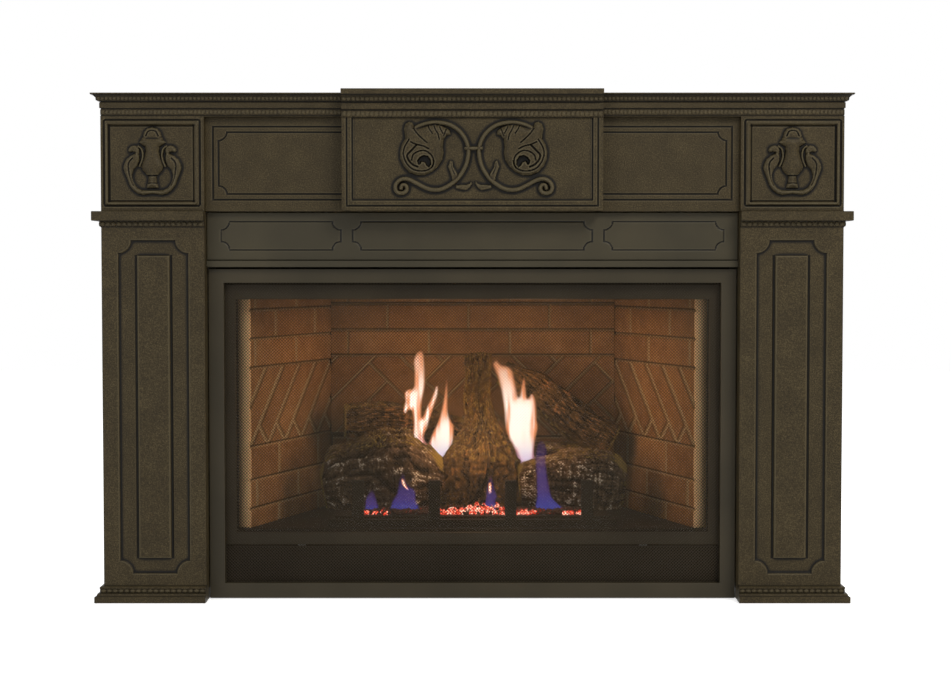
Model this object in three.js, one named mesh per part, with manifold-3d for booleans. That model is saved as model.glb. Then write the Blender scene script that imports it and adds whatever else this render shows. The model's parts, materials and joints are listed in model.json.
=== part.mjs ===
// A gas fireplace insert behind an ornamental cast iron surround.
//
// Millimetres, +Z up. The front faces -Y and +X is to the viewer's right. While it is being built, y = 0
// is the plane of the wall that the surround stands against: the castings stand in front of it (y < 0) and
// the steel casing of the insert goes back into the masonry opening behind it (y > 0). The last lines move
// the whole part back, so that its origin is on the floor at the centre of its footprint.

import * as THREE from 'three';
import { mergeVertices } from 'three/addons/utils/BufferGeometryUtils.js';
import Module from 'manifold-3d';

const wasm = await Module();
wasm.setup();

// ---------------------------------------------------------------- driving dimensions

const seat = 0.3; // clearance between pieces that rest against each other

// cast surround
const openingWidth = 764; // between the legs
const openingHeight = 560; // floor to the underside of the header
const castWall = 8; // thickness of the castings, which are open at the back
const legWidth = 147;
const legDepth = 60; // wall to the face of a leg
const capHeight = 13.5;
const capReach = 12; // how far a cap stands out from its leg
const capBeadHeight = 8.5;
const capBeadReach = 5;
const plinthHeight = 23;
const plinthReach = 12;
const panelWidth = 102; // recessed panel of a leg
const panelFoot = 40; // floor to the bottom of that panel
const panelHead = 18; // panel top to the bead under the cap
const panelNotch = 18.6; // radius of its hollow corners
const panelDepth = 3;
const padWidth = 48; // raised pad in the middle of the panel
const padEnd = 22; // panel end to pad end

// header and its cornice
const faceHeight = 134; // plain face between the leg caps and the cornice
const dentilHeight = 10;
const fasciaHeight = 11;
const beadHeight = 8;
const shelfHeight = 4;
const shelfReach = 12.3;
const beadReach = 11;
const fasciaReach = 4;
const dentilReach = 2.5;
const friezeSetback = 10; // side friezes behind the faces of the corner blocks
const fieldOuter = 11; // border of a corner block beside its sunk field: outer, inner, foot and head
const fieldInner = 15;
const fieldFoot = 15;
const fieldHead = 12;
const blockSink = 4;
const friezeOutline = 10; // corner block to the engraved outline of a side frieze
const friezeInset = 8; // that outline to the notched one inside it
const friezeNotch = 12;
const grooveWidth = 3;
const grooveDepth = 1.6;

// centre block
const centreWidth = 370;
const centreDepth = 78; // wall to its face
const centreRise = 4; // its shelf above the side shelves
const centreShelf = 9;
const centreShelfReach = 15;
const centreBorder = 15;
const centreLine = 6; // edge of the block to its engraved line
const centreSink = 4;
const reliefHeight = 5; // carved ornament above the sunk fields
const scrollRadius = 49; // main ring of the double scroll
const scrollSpacing = 111; // between the centres of its two rings
const scrollRise = 76; // foot of the block to those centres
const scrollStem = 7;
const urnHeight = 84;
const urnWidth = 31;

// hood strip under the header
const hoodHeight = 79;
const hoodFace = 40; // wall to its face
const hoodLip = 9;
const hoodLipReach = 4;
const sheet = 2; // steel sheet of the insert
const cartoucheFoot = 24; // foot of the strip to the cartouches
const cartoucheHeight = 42;
const cartoucheNotch = 12;
const cartoucheCentre = 345; // width of the middle one
const cartoucheGap = 16;
const cartoucheMargin = 20;

// barrier screen
const screenGap = 2.7; // foot of the hood strip to the top of the screen
const screenTop = openingHeight - seat - hoodHeight - screenGap;
const screenFoot = 1;
const screenFront = 34; // wall to its front
const screenThick = 12;
const screenBar = 22;
const screenRim = 3; // rim behind the bars that holds the mesh
const screenRimDepth = 6;
const meshGrip = 5; // mesh behind the bars
const meshThick = 1.5;
const meshStrand = 3.5;
const meshColumns = 10;
const meshRows = 6;
const screenSideGap = 1.5;
const lugThick = 6; // lugs of the frame that reach back to the front flange
const lugHeight = 30;
const lugDrop = 60; // top of the screen to its upper lugs
const lugRise = 100; // foot of the screen to its lower lugs

// glass front
const glassFoot = 76; // floor to the bottom of the glass frame
const glassTop = screenTop - 22;
const glassBar = 22;
const glassFootBar = 18.5;
const glassFrameThick = 8;
const glassThick = 5;
const paneOverlap = 5.7; // pane behind the bars of its frame
const gasketThick = 4;
const glassOverlap = 10; // glass frame beyond each side of the casing

// casing of the insert
const casingInset = 26; // side of the surround's opening to the side of the casing
const casingFoot = 12;
const casingDrop = 46; // top of the opening to the top of the casing
const casingTop = openingHeight - casingDrop;
const fireFloor = 97; // floor to the firebox floor
const fireTop = glassTop;
const fireDepth = 292; // wall to the face of the back bricks
const casingClear = 40; // those bricks' face to the back of the casing
const casingDepth = fireDepth + casingClear;
const fireBackWidth = 458; // between the side bricks at the back
const brickThick = 20;
const brickDrop = 18; // top of the firebox to the top of the bricks
const brickTop = fireTop - brickDrop;
const sideBrickReveal = 18; // side bricks at the front, seen beside the glass frame
const flangeReach = 20; // front flange beyond the casing
const flangeRail = 16;

// bricks
const courseHeight = 42.5;
const brickLength = 117;
const mortar = 3;
const mortarDepth = 2.5;
const firstCourse = 24; // firebox floor to the lowest joint
const bandLift = 33; // top of the low courses to the herringbone band
const bandHeight = 116;
// edge of a wall to its first upright joint, in its low and its high courses
const backStart = [60, 115];
const sideStart = [80, 40];

// burner, grate and logs
const railFront = 12; // wall to the front rail of the grate
const railWidth = 426;
const railThick = 10;
const railHeight = 12;
const grateDepth = 225;
const postWidth = 17;
const postTop = 167;
const postPitch = 112.5;
const postCount = 4;
const trayWidth = 408;
const trayDepth = 205;
const trayHeight = 15;
const portSetback = 64; // front of the tray to its row of ports
const portPitch = 34;
const emberDepth = 56;
const emberHeight = 20;

// controls
const panelBack = 26; // wall to the control panel
const controlHeight = 48; // floor to the knob shafts
const gasKnobRadius = 16;
const flameKnobRadius = 13;
const speedKnobRadius = 11;
const knobDepth = 17;
const knobPush = 4; // travel of the gas knob when it is pushed in to light the pilot
const shaftRadius = 4;
const buttonRadius = 7;
const buttonTravel = 6;
const valveDepth = 44;
const tubeRadius = 4.5;
const tubeStart = 20; // gas knob's shaft to the tube, sideways
const tubeReach = 78; // back of the valve to the burner's inlet
const tubeRun = 130; // the same, sideways
const tubeDrop = 4; // knob shafts to the tube
const elbowHalf = 10;

// flue and fan
const collarRadius = 38;
const collarRise = 46;
const collarPitch = 130;
const collarBack = 110; // back of the casing to the middle of the collars
const fanRadius = 22;
const fanLength = 120;
const fanBlades = 10;

// ---------------------------------------------------------------- solids

/** Turns a closed geometry into a solid that can be joined and cut. */
function solid(geometry) {
  const plain = geometry.index ? geometry.toNonIndexed() : geometry.clone();
  plain.deleteAttribute('normal');
  plain.deleteAttribute('uv');
  const merged = mergeVertices(plain, 1e-4);
  const index = merged.index.array;
  const triangles = [];
  for (let i = 0; i < index.length; i += 3) {
    const [a, b, c] = [index[i], index[i + 1], index[i + 2]];
    if (a !== b && b !== c && c !== a) triangles.push(a, b, c);
  }
  return new wasm.Manifold(new wasm.Mesh({
    numProp: 3,
    vertProperties: new Float32Array(merged.attributes.position.array),
    triVerts: new Uint32Array(triangles),
  }));
}

function join(...pieces) {
  return pieces.flat().reduce((sum, piece) => sum.add(piece));
}

function cut(body, ...tools) {
  return tools.flat().reduce((rest, tool) => rest.subtract(tool), body);
}

function block(x, y, z) {
  const size = [x[1] - x[0], y[1] - y[0], z[1] - z[0]];
  const geometry = new THREE.BoxGeometry(...size);
  geometry.translate((x[0] + x[1]) / 2, (y[0] + y[1]) / 2, (z[0] + z[1]) / 2);
  return solid(geometry);
}

/** Eight corners: a rectangle at the bottom and another at the top. */
function wedge(low, high, z) {
  const corners = [];
  for (const [rect, height] of [[low, z[0]], [high, z[1]]]) {
    const [x, y] = rect;
    corners.push(x[0], y[0], height, x[1], y[0], height, x[1], y[1], height, x[0], y[1], height);
  }
  const faces = [
    0, 2, 1, 0, 3, 2, 4, 5, 6, 4, 6, 7, 0, 1, 5, 0, 5, 4,
    1, 2, 6, 1, 6, 5, 2, 3, 7, 2, 7, 6, 3, 0, 4, 3, 4, 7,
  ];
  const geometry = new THREE.BufferGeometry();
  geometry.setAttribute('position', new THREE.Float32BufferAttribute(corners, 3));
  geometry.setIndex(faces);
  return solid(geometry);
}

const turns = {
  x: new THREE.Matrix4().makeBasis(
    new THREE.Vector3(0, 1, 0), new THREE.Vector3(0, 0, 1), new THREE.Vector3(1, 0, 0)),
  y: new THREE.Matrix4().makeBasis(
    new THREE.Vector3(1, 0, 0), new THREE.Vector3(0, 0, 1), new THREE.Vector3(0, -1, 0)),
  z: new THREE.Matrix4(),
};

/** Extrudes an outline along an axis: (y, z) along x, (x, z) along y or (x, y) along z. */
function prism(axis, outline, from, to) {
  const shape = new THREE.Shape(outline.map(([u, v]) => new THREE.Vector2(u, v)));
  const geometry = new THREE.ExtrudeGeometry(shape, { depth: to - from, bevelEnabled: false });
  geometry.applyMatrix4(turns[axis]);
  if (axis === 'x') geometry.translate(from, 0, 0);
  if (axis === 'y') geometry.translate(0, to, 0);
  if (axis === 'z') geometry.translate(0, 0, from);
  return solid(geometry);
}

function round(axis, radius, centre, from, to, sides = 20) {
  const outline = [];
  for (let i = 0; i < sides; i += 1) {
    const angle = (2 * Math.PI * (i + 0.5)) / sides;
    outline.push([centre[0] + radius * Math.cos(angle), centre[1] + radius * Math.sin(angle)]);
  }
  return prism(axis, outline, from, to);
}

/** A ring or a bar of a round section along a curve. */
function rod(points, radius, steps, sides = 8) {
  const path = new THREE.CatmullRomCurve3(points.map((point) => new THREE.Vector3(...point)));
  const section = new THREE.Shape();
  for (let i = 0; i < sides; i += 1) {
    const angle = (2 * Math.PI * i) / sides;
    const [u, v] = [radius * Math.cos(angle), radius * Math.sin(angle)];
    if (i === 0) section.moveTo(u, v);
    else section.lineTo(u, v);
  }
  return solid(new THREE.ExtrudeGeometry(section, { steps, extrudePath: path }));
}

/** A rectangle whose four corners are hollowed by a quarter circle. */
function notched(x, z, radius, steps = 4) {
  const outline = [];
  const corners = [[x[0], z[0], 0], [x[1], z[0], 1], [x[1], z[1], 2], [x[0], z[1], 3]];
  for (const [cx, cz, quarter] of corners) {
    for (let i = 0; i <= steps; i += 1) {
      const angle = (Math.PI / 2) * (1 + quarter - i / steps);
      outline.push([cx + radius * Math.cos(angle), cz + radius * Math.sin(angle)]);
    }
  }
  return outline;
}

/** An engraved line along the inside of a notched rectangle. */
function engraved(x, z, radius, y, width, depth) {
  const inner = notched([x[0] + width, x[1] - width], [z[0] + width, z[1] - width], radius);
  return cut(prism('y', notched(x, z, radius), y - 1, y + depth), prism('y', inner, y - 2, y + depth + 1));
}

// ---------------------------------------------------------------- the assembly

const fireplace = new THREE.Group();

function finish(colour, roughness, metalness, extra = {}) {
  return new THREE.MeshStandardMaterial({ color: colour, roughness, metalness, ...extra });
}

const castIron = finish(0x463f30, 0.6, 0.5);
const blackSteel = finish(0x25221e, 0.55, 0.5);
const bareSteel = finish(0x8a8d8f, 0.45, 0.9);
const brickwork = finish(0x6e4b2d, 0.95, 0);
const charredLog = finish(0x2a211a, 0.95, 0);
const emberBed = finish(0x5a2a18, 0.9, 0);
const clearGlass = finish(0x9aa39f, 0.05, 0, { transparent: true, opacity: 0.25 });
const ropeSeal = finish(0x2f2f2f, 0.95, 0);
const brass = finish(0xb08d4a, 0.35, 0.9);
const blackPlastic = finish(0x17171a, 0.5, 0);
const zincPlate = finish(0xa9aca8, 0.4, 0.9);

function addPart(name, body, material) {
  const mesh = body.getMesh();
  const geometry = new THREE.BufferGeometry();
  geometry.setAttribute('position', new THREE.BufferAttribute(new Float32Array(mesh.vertProperties), 3));
  geometry.setIndex(new THREE.BufferAttribute(new Uint32Array(mesh.triVerts), 1));
  geometry.computeVertexNormals();
  const part = new THREE.Mesh(geometry, material);
  part.name = name;
  fireplace.add(part);
}

const mirror = (side, span) => (side < 0 ? [-span[1], -span[0]] : span);

// ---------------------------------------------------------------- cast surround

const innerEdge = openingWidth / 2;
const outerEdge = innerEdge + legWidth;
const legTop = openingHeight;
const beadUnderCap = legTop - capHeight - capBeadHeight;
const legCentre = innerEdge + legWidth / 2;
const legBack = 0;
const legFace = -legDepth;

const boltRadius = 5;
const boltPlace = (side) => [side * (outerEdge - 34), -legDepth / 2];
const boltHole = (side) => round('z', boltRadius + seat, boltPlace(side), legTop - castWall - 1,
  legTop + seat + castWall + 1, 12);

/** A pilaster: plinth, shaft with a sunk panel and raised pad, bead and cap, hollow from behind. */
function leg(side) {
  const at = (from, to) => mirror(side, [from, to]);
  const shaft = block(at(innerEdge, outerEdge), [legFace, legBack], [plinthHeight, beadUnderCap]);
  const cap = block(at(innerEdge, outerEdge + capReach), [legFace - capReach, legBack],
    [legTop - capHeight, legTop]);
  const bead = block(at(innerEdge, outerEdge + capBeadReach), [legFace - capBeadReach, legBack],
    [beadUnderCap, legTop - capHeight]);
  const plinthBlock = 9;
  const plinthBead = 13.5;
  const narrow = [at(innerEdge, outerEdge + 1), [legFace - 1, legBack]];
  const middle = [at(innerEdge, outerEdge + plinthReach / 2), [legFace - plinthReach / 2, legBack]];
  const wide = [at(innerEdge, outerEdge + plinthReach), [legFace - plinthReach, legBack]];
  const plinth = join(
    block(wide[0], wide[1], [0, plinthBlock]),
    wedge(wide, middle, [plinthBlock, plinthBead]),
    wedge(middle, narrow, [plinthBead, plinthHeight]),
  );
  const panelX = [legCentre - panelWidth / 2, legCentre + panelWidth / 2];
  const panelZ = [panelFoot, beadUnderCap - panelHead];
  const sunk = prism('y', notched(at(...panelX), panelZ, panelNotch), legFace - 1, legFace + panelDepth);
  const padX = at(legCentre - padWidth / 2, legCentre + padWidth / 2);
  const padZ = [panelZ[0] + padEnd, panelZ[1] - padEnd];
  const pad = block(padX, [legFace, legFace + panelDepth], padZ);
  const hollow = block(at(innerEdge + castWall, outerEdge - castWall),
    [legFace + panelDepth + castWall, legBack + 1], [castWall, legTop - castWall]);
  return join(cut(join(shaft, cap, bead, plinth), sunk, hollow, boltHole(side)), pad);
}
addPart('left_leg', leg(-1), castIron);
addPart('right_leg', leg(1), castIron);

const headerFoot = legTop + seat;
const faceTop = headerFoot + faceHeight;
const dentilTop = faceTop + dentilHeight;
const fasciaTop = dentilTop + fasciaHeight;
const beadTop = fasciaTop + beadHeight;
const shelfTop = beadTop + shelfHeight;
const centreEdge = centreWidth / 2;
const friezeFace = legFace + friezeSetback;
const centreFace = -centreDepth;
const centreTop = shelfTop + centreRise;

/** Cornice of one side: dentil band, fascia, bead band and shelf, returned round the outer end. */
function sideCornice(side) {
  const at = (reach) => [mirror(side, [centreEdge + seat, outerEdge + reach]), [legFace - reach, legBack]];
  const layer = (reach, from, to) => block(...at(reach), [from, to]);
  return [
    layer(dentilReach, faceTop, dentilTop),
    layer(fasciaReach, dentilTop, fasciaTop),
    wedge(at(fasciaReach + 2), at(beadReach), [fasciaTop, beadTop]),
    layer(shelfReach, beadTop, shelfTop),
  ];
}

/** Outline of the urn on a corner block, as shares of its half width and half height. */
const urnSide = [[0.52, -1], [0.5, -0.86], [0.33, -0.67], [0.8, -0.52], [1, -0.3], [0.85, 0], [0.45, 0.29],
  [0.55, 0.45], [1.28, 0.54], [0.9, 0.8], [0.35, 1]];

/** Curling leaf beside the urn, in millimetres from the middle of the urn. */
const leafSide = [[14, -52], [23, -48], [32, -36], [39, -12], [32, 15], [24.7, 11], [20.4, 2], [19, -6],
  [24.7, -13.5], [29, -22], [29, -31], [24.7, -41], [14, -44]];

function urnRelief(x, z, y) {
  const scaled = urnSide.map(([u, v]) => [(u * urnWidth) / 2, (v * urnHeight) / 2]);
  const urn = scaled.concat(scaled.map(([u, v]) => [-u, v]).reverse());
  const place = (outline) => outline.map(([u, v]) => [x + u, z + v]);
  const leaf = (side) => (side > 0 ? leafSide : leafSide.map(([u, v]) => [-u, v]).reverse());
  return [urn, leaf(1), leaf(-1)].map((outline) => prism('y', place(outline), ...y));
}

const shelfFootCentre = centreTop - centreShelf;

/** One engraved rectangle of a side frieze; its inner end lies under the centre block. */
function friezeLineRing(side, inset, radius) {
  const x = mirror(side, [centreEdge - 30, innerEdge - friezeOutline - inset]);
  const z = [headerFoot + fieldFoot + inset, faceTop - fieldHead - inset];
  return engraved(x, z, radius, friezeFace, grooveWidth, grooveDepth);
}

function header() {
  const corner = (side) => block(mirror(side, [innerEdge, outerEdge]), [legFace, legBack],
    [headerFoot, faceTop]);
  const frieze = block([-innerEdge, innerEdge], [friezeFace, legBack], [headerFoot, faceTop]);
  const roof = shelfFootCentre - seat;
  const top = block([-outerEdge, outerEdge], [friezeFace, legBack], [faceTop, roof]);
  const hollow = (x, front) => block(x, [front + castWall, legBack + 1],
    [headerFoot + castWall, roof - castWall]);
  let body = join(corner(-1), corner(1), frieze, top, sideCornice(-1), sideCornice(1));
  body = cut(body, hollow([-innerEdge + castWall, innerEdge - castWall], friezeFace + grooveDepth));
  for (const side of [-1, 1]) {
    const field = mirror(side, [innerEdge + fieldInner, outerEdge - fieldOuter]);
    const fieldZ = [headerFoot + fieldFoot, faceTop - fieldHead];
    const floor = legFace + blockSink;
    body = cut(body,
      block(field, [legFace - 1, floor], fieldZ),
      hollow(mirror(side, [innerEdge + castWall, outerEdge - castWall]), floor),
      boltHole(side),
      friezeLineRing(side, 0, 1),
      friezeLineRing(side, friezeInset, friezeNotch));
    body = join(body, urnRelief(side * legCentre, (fieldZ[0] + fieldZ[1]) / 2 + 6,
      [floor - reliefHeight, floor + 1]));
  }
  return body;
}
addPart('header', header(), castIron);

/** A flat stem that follows a list of points, widened to both sides. */
function stem(points, width, y) {
  const curve = new THREE.CatmullRomCurve3(points.map(([u, v]) => new THREE.Vector3(u, v, 0)));
  const steps = points.length * 3;
  const sides = [[], []];
  for (let i = 0; i <= steps; i += 1) {
    const t = i / steps;
    const at = curve.getPointAt(t);
    const along = curve.getTangentAt(t);
    sides[0].push([at.x + (along.y * width) / 2, at.y - (along.x * width) / 2]);
    sides[1].unshift([at.x - (along.y * width) / 2, at.y + (along.x * width) / 2]);
  }
  return prism('y', sides[0].concat(sides[1]), ...y);
}

/** Shapes inside a ring of the double scroll: u towards the middle of the block and v up. */
const innerStem = [[-37, 31], [-49, 17], [-52, 3], [-49, -11], [-40, -21], [-29, -27], [-16, -28], [-3.5, -24],
  [6.5, -15.5], [12, -4], [14, 10], [14, 24], [22, 33]];
const leafBody = [[-40, 42], [-33, 24], [-14, 15.5], [-4, 7], [6, -4], [14, 11], [22, 31], [14, 36], [7, 41],
  [-28, 41]];

/** One half of the double scroll: the ring with its end curls, the inner stem and its leaf. */
function scroll(side, y) {
  const centreX = (side * scrollSpacing) / 2;
  const centreZ = headerFoot + scrollRise;
  const scale = scrollRadius / 49;
  const place = (points) => points.map(([u, v]) => [centreX - side * u * scale, centreZ + v * scale]);
  const ring = [];
  for (let degrees = 120; degrees >= -125; degrees -= 17.5) {
    const angle = (degrees * Math.PI) / 180;
    ring.push([49 * Math.cos(angle), 51 * Math.sin(angle)]);
  }
  ring.push([-42, -36], [-52, -35]);
  const disc = (u, v, radius) => round('y', radius * scale, place([[u, v]])[0], ...y, 12);
  const leaf = place(leafBody);
  return join(
    stem(place(ring), scrollStem, y),
    stem(place(innerStem), scrollStem * 0.8, y),
    disc(-47.5, -44, 9), disc(-35, 44, 6), disc(-20.5, -7, 11),
    prism('y', side > 0 ? leaf : leaf.slice().reverse(), ...y));
}

/** The engraved line round the sunk field of the centre block: both sides and the foot. */
function centreGroove(top) {
  const x = centreEdge - centreLine;
  const foot = headerFoot + centreLine;
  const line = (xs, zs) => block(xs, [centreFace - 1, centreFace + grooveDepth], zs);
  return join(
    line([-x, x], [foot, foot + grooveWidth]),
    line([-x, -x + grooveWidth], [foot, top]),
    line([x - grooveWidth, x], [foot, top]));
}

function centreBlock() {
  const back = friezeFace - seat;
  const layer = (reach, from, to) => block([-centreEdge, centreEdge], [centreFace - reach, back], [from, to]);
  const fieldX = [-centreEdge + centreBorder, centreEdge - centreBorder];
  const fieldZ = [headerFoot + centreBorder, faceTop - 2];
  const floor = centreFace + centreSink;
  const y = [floor - reliefHeight, floor + 1];
  const solidBlock = join(
    layer(0, headerFoot, faceTop),
    layer(dentilReach, faceTop, dentilTop),
    layer(fasciaReach, dentilTop, fasciaTop),
    layer(beadReach, fasciaTop, shelfFootCentre),
    block([-centreEdge, centreEdge], [centreFace - centreShelfReach, legBack], [shelfFootCentre, centreTop]));
  const hollow = block(fieldX, [floor + castWall, back + 1],
    [headerFoot + castWall, shelfFootCentre - castWall]);
  const claspZ = headerFoot + scrollRise + 10;
  return join(
    cut(solidBlock, block(fieldX, [centreFace - 1, floor], fieldZ), hollow, centreGroove(fieldZ[1])),
    scroll(-1, y), scroll(1, y), block([-8, 8], y, [claspZ, claspZ + 7]));
}
addPart('centre_block', centreBlock(), castIron);

// one bolt in each corner, through the floor of the header into the top of the leg
for (const [name, side] of [['left', -1], ['right', 1]]) {
  const floor = headerFoot + castWall + seat;
  addPart(`${name}_joint_bolt`, join(
    round('z', boltRadius, boltPlace(side), legTop - castWall - 4, floor + 1, 12),
    round('z', boltRadius * 1.8, boltPlace(side), floor, floor + 6, 6),
  ), zincPlate);
}

// ---------------------------------------------------------------- places shared by the insert's pieces

const casingEdge = innerEdge - casingInset;
const flangeEdge = casingEdge + flangeReach;
const frameEdge = casingEdge + glassOverlap;
const sightEdge = frameEdge - glassBar; // half the width between the bars of the glass frame
const flangeY = [-sheet - seat, -seat];

// ---------------------------------------------------------------- hood strip

const hoodTop = legTop - seat;
const hoodFoot = hoodTop - hoodHeight;
const hoodEdge = innerEdge - seat;

/** Bent steel strip with three engraved cartouches and a lip that turns forward at its foot. */
function hoodStrip() {
  const face = -hoodFace;
  const profile = [
    [face, hoodTop], [face, hoodFoot + hoodLip + sheet], [face - hoodLipReach, hoodFoot + hoodLip],
    [face - hoodLipReach, hoodFoot], [face + 4, hoodFoot], [face + 4, hoodFoot + sheet],
    [face - hoodLipReach + sheet, hoodFoot + sheet], [face - hoodLipReach + sheet, hoodFoot + hoodLip - 1],
    [face + sheet, hoodFoot + hoodLip + 2], [face + sheet, hoodTop - sheet],
    [-seat, hoodTop - sheet], [-seat, hoodTop],
  ];
  const strip = prism('x', profile, -hoodEdge, hoodEdge);
  const z = [hoodFoot + cartoucheFoot, hoodFoot + cartoucheFoot + cartoucheHeight];
  const line = 1.2;
  const middle = cartoucheCentre / 2;
  const spans = [
    [-middle, middle],
    [middle + cartoucheGap, hoodEdge - cartoucheMargin],
    [-hoodEdge + cartoucheMargin, -middle - cartoucheGap],
  ];
  return cut(strip, spans.map((x) => engraved(x, z, cartoucheNotch, face, line * 2, line)));
}
addPart('hood_strip', hoodStrip(), blackSteel);

// ---------------------------------------------------------------- barrier screen

const screenEdge = innerEdge - screenSideGap;
const screenBack = -screenFront + screenThick;
const clearX = screenEdge - screenBar;
const clearZ = [screenFoot + screenBar, screenTop - screenBar + 2];

/** A rectangular ring of bars, whose lowest bar may have a width of its own. */
function frameRing(x, y, z, bar, footBar = bar) {
  return cut(block([-x, x], y, z),
    block([-x + bar, x - bar], [y[0] - 1, y[1] + 1], [z[0] + footBar, z[1] - bar]));
}

function screenFrame() {
  const bars = cut(block([-screenEdge, screenEdge], [-screenFront, screenBack], [screenFoot, screenTop]),
    block([-clearX, clearX], [-screenFront - 1, screenBack + 1], clearZ));
  const rimX = clearX + meshGrip + seat + screenRim;
  const rimZ = [clearZ[0] - meshGrip - seat - screenRim, clearZ[1] + meshGrip + seat + screenRim];
  const lugs = [];
  for (const side of [-1, 1]) {
    for (const z of [screenTop - lugDrop, screenFoot + lugRise]) {
      lugs.push(block(mirror(side, [flangeEdge - lugThick, flangeEdge]), [screenBack - 1, flangeY[0] - seat],
        [z, z + lugHeight]));
    }
  }
  return join(bars, frameRing(rimX, [screenBack, screenBack + screenRimDepth], rimZ, screenRim), lugs);
}
addPart('screen_frame', screenFrame(), blackSteel);

/** Woven steel mesh, drawn as a coarse diamond net with a hem all round. */
function screenMesh() {
  const x = clearX + meshGrip;
  const z = [clearZ[0] - meshGrip, clearZ[1] + meshGrip];
  const y = [screenBack + seat, screenBack + seat + meshThick];
  const cellX = (2 * clearX) / meshColumns;
  const cellZ = (clearZ[1] - clearZ[0]) / meshRows;
  const slope = Math.atan2(cellZ, cellX);
  const middleZ = (clearZ[0] + clearZ[1]) / 2;
  const reach = 2 * (x + z[1] - z[0]);
  const strands = [];
  const count = meshColumns + meshRows;
  for (const lean of [-1, 1]) {
    for (let i = 0; i < count; i += 1) {
      const shift = (i - (count - 1) / 2) * cellX;
      const bar = new THREE.BoxGeometry(reach, meshThick, meshStrand);
      bar.rotateY(lean * slope);
      bar.translate(shift, (y[0] + y[1]) / 2, middleZ);
      strands.push(solid(bar));
    }
  }
  const hem = meshGrip + meshStrand;
  const plate = block([-x, x], y, z);
  const window = block([-x + hem, x - hem], [y[0] - 1, y[1] + 1], [z[0] + hem, z[1] - hem]);
  const net = join(strands).intersect(plate);
  return join(cut(plate, window), net);
}
addPart('screen_mesh', screenMesh(), blackSteel);

// ---------------------------------------------------------------- glass front

const glassY = [flangeY[0] - seat - gasketThick - glassFrameThick, flangeY[0] - seat - gasketThick];

const paneEdge = sightEdge + paneOverlap;
const paneZ = [glassFoot + glassFootBar - paneOverlap, glassTop - glassBar + paneOverlap];

function glassFrame() {
  const ring = frameRing(frameEdge, glassY, [glassFoot, glassTop], glassBar, glassFootBar);
  const pocket = block([-paneEdge - seat, paneEdge + seat],
    [glassY[1] - glassThick - seat, glassY[1] + 1], [paneZ[0] - seat, paneZ[1] + seat]);
  return cut(ring, pocket);
}
addPart('glass_frame', glassFrame(), blackSteel);

addPart('glass_pane', block([-paneEdge, paneEdge], [glassY[1] - glassThick, glassY[1]], paneZ), clearGlass);
addPart('glass_gasket', frameRing(paneEdge + 4, [glassY[1] + seat, flangeY[0] - seat],
  [paneZ[0] - 4, paneZ[1] + 4], 8), ropeSeal);

// ---------------------------------------------------------------- casing

const openEdge = sightEdge - 2;

const latchX = 250;
const latchZ = glassFoot - 6;
const latchPin = 3;
const latchRoom = 8; // its pin to the edge of the control opening
const latchThick = 3.6;
const latchHole = (side) => round('y', latchPin + seat, [side * latchX, latchZ], flangeY[0] - 1,
  flangeY[1] + 1, 12);

/** Front flange of the casing, with the fire opening above and the control opening below. */
function frontFlange() {
  const plate = block([-flangeEdge, flangeEdge], flangeY, [casingFoot, hoodTop - sheet - seat]);
  const fire = block([-openEdge, openEdge], [flangeY[0] - 1, flangeY[1] + 1], [fireFloor + 1, brickTop - 4]);
  const controls = block([-openEdge, openEdge], [flangeY[0] - 1, flangeY[1] + 1],
    [casingFoot + flangeRail, latchZ - latchRoom]);
  return cut(plate, fire, controls, latchHole(-1), latchHole(1));
}
addPart('front_flange', frontFlange(), blackSteel);

const wallZ = [casingFoot + sheet + seat, casingTop - sheet - seat];
for (const [name, side] of [['left', -1], ['right', 1]]) {
  const x = mirror(side, [casingEdge - sheet, casingEdge]);
  addPart(`casing_${name}`, block(x, [0, casingDepth - sheet - seat], wallZ), bareSteel);
}
addPart('casing_back', block([-casingEdge, casingEdge], [casingDepth - sheet, casingDepth], wallZ), bareSteel);
addPart('casing_base', block([-casingEdge, casingEdge], [0, casingDepth], [casingFoot, casingFoot + sheet]),
  bareSteel);

const exhaustX = -collarPitch / 2;
const intakeX = collarPitch / 2;
const collarY = casingDepth - collarBack;
const collarSides = 24;
const collarHole = (x, radius, z) => round('z', radius, [x, collarY], z[0], z[1], collarSides);

addPart('casing_top', cut(
  block([-casingEdge, casingEdge], [0, casingDepth], [casingTop - sheet, casingTop]),
  collarHole(exhaustX, collarRadius + seat, [casingTop - 10, casingTop + 10]),
  collarHole(intakeX, collarRadius + seat, [casingTop - 10, casingTop + 10]),
), bareSteel);

// four levelling bolts under the casing
const boltInset = 24;
const padRadius = 9;
const footScrewRadius = 4;
for (const [name, x, y] of [
  ['front_left', -1, 0], ['front_right', 1, 0], ['back_left', -1, 1], ['back_right', 1, 1],
]) {
  const centre = [x * (casingEdge - boltInset), y ? casingDepth - boltInset : boltInset + 10];
  addPart(`${name}_levelling_foot`, join(
    round('z', padRadius, centre, 0, 4, 12),
    round('z', footScrewRadius, centre, 3.5, casingFoot - seat, 10),
  ), zincPlate);
}

// ---------------------------------------------------------------- firebox

const brickFront = 10;
const wallFrontEdge = sightEdge - sideBrickReveal; // inner edge of the side bricks at the front
const wallBackEdge = fireBackWidth / 2;
const liner = fireFloor + seat;
const slant = Math.atan2(wallFrontEdge - wallBackEdge, fireDepth - brickFront);
const wallRun = Math.hypot(wallFrontEdge - wallBackEdge, fireDepth - brickFront);
const skew = brickThick / Math.cos(slant);

/** Plan of a side wall between two distances outward from the face of its bricks. */
function sidePlan(side, near, far, from, to) {
  const along = (y) => wallFrontEdge - (y - brickFront) * Math.tan(slant);
  const plan = [[along(from) + near, from], [along(from) + far, from], [along(to) + far, to],
    [along(to) + near, to]];
  return side > 0 ? plan : plan.map(([x, y]) => [-x, y]).reverse();
}

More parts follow.
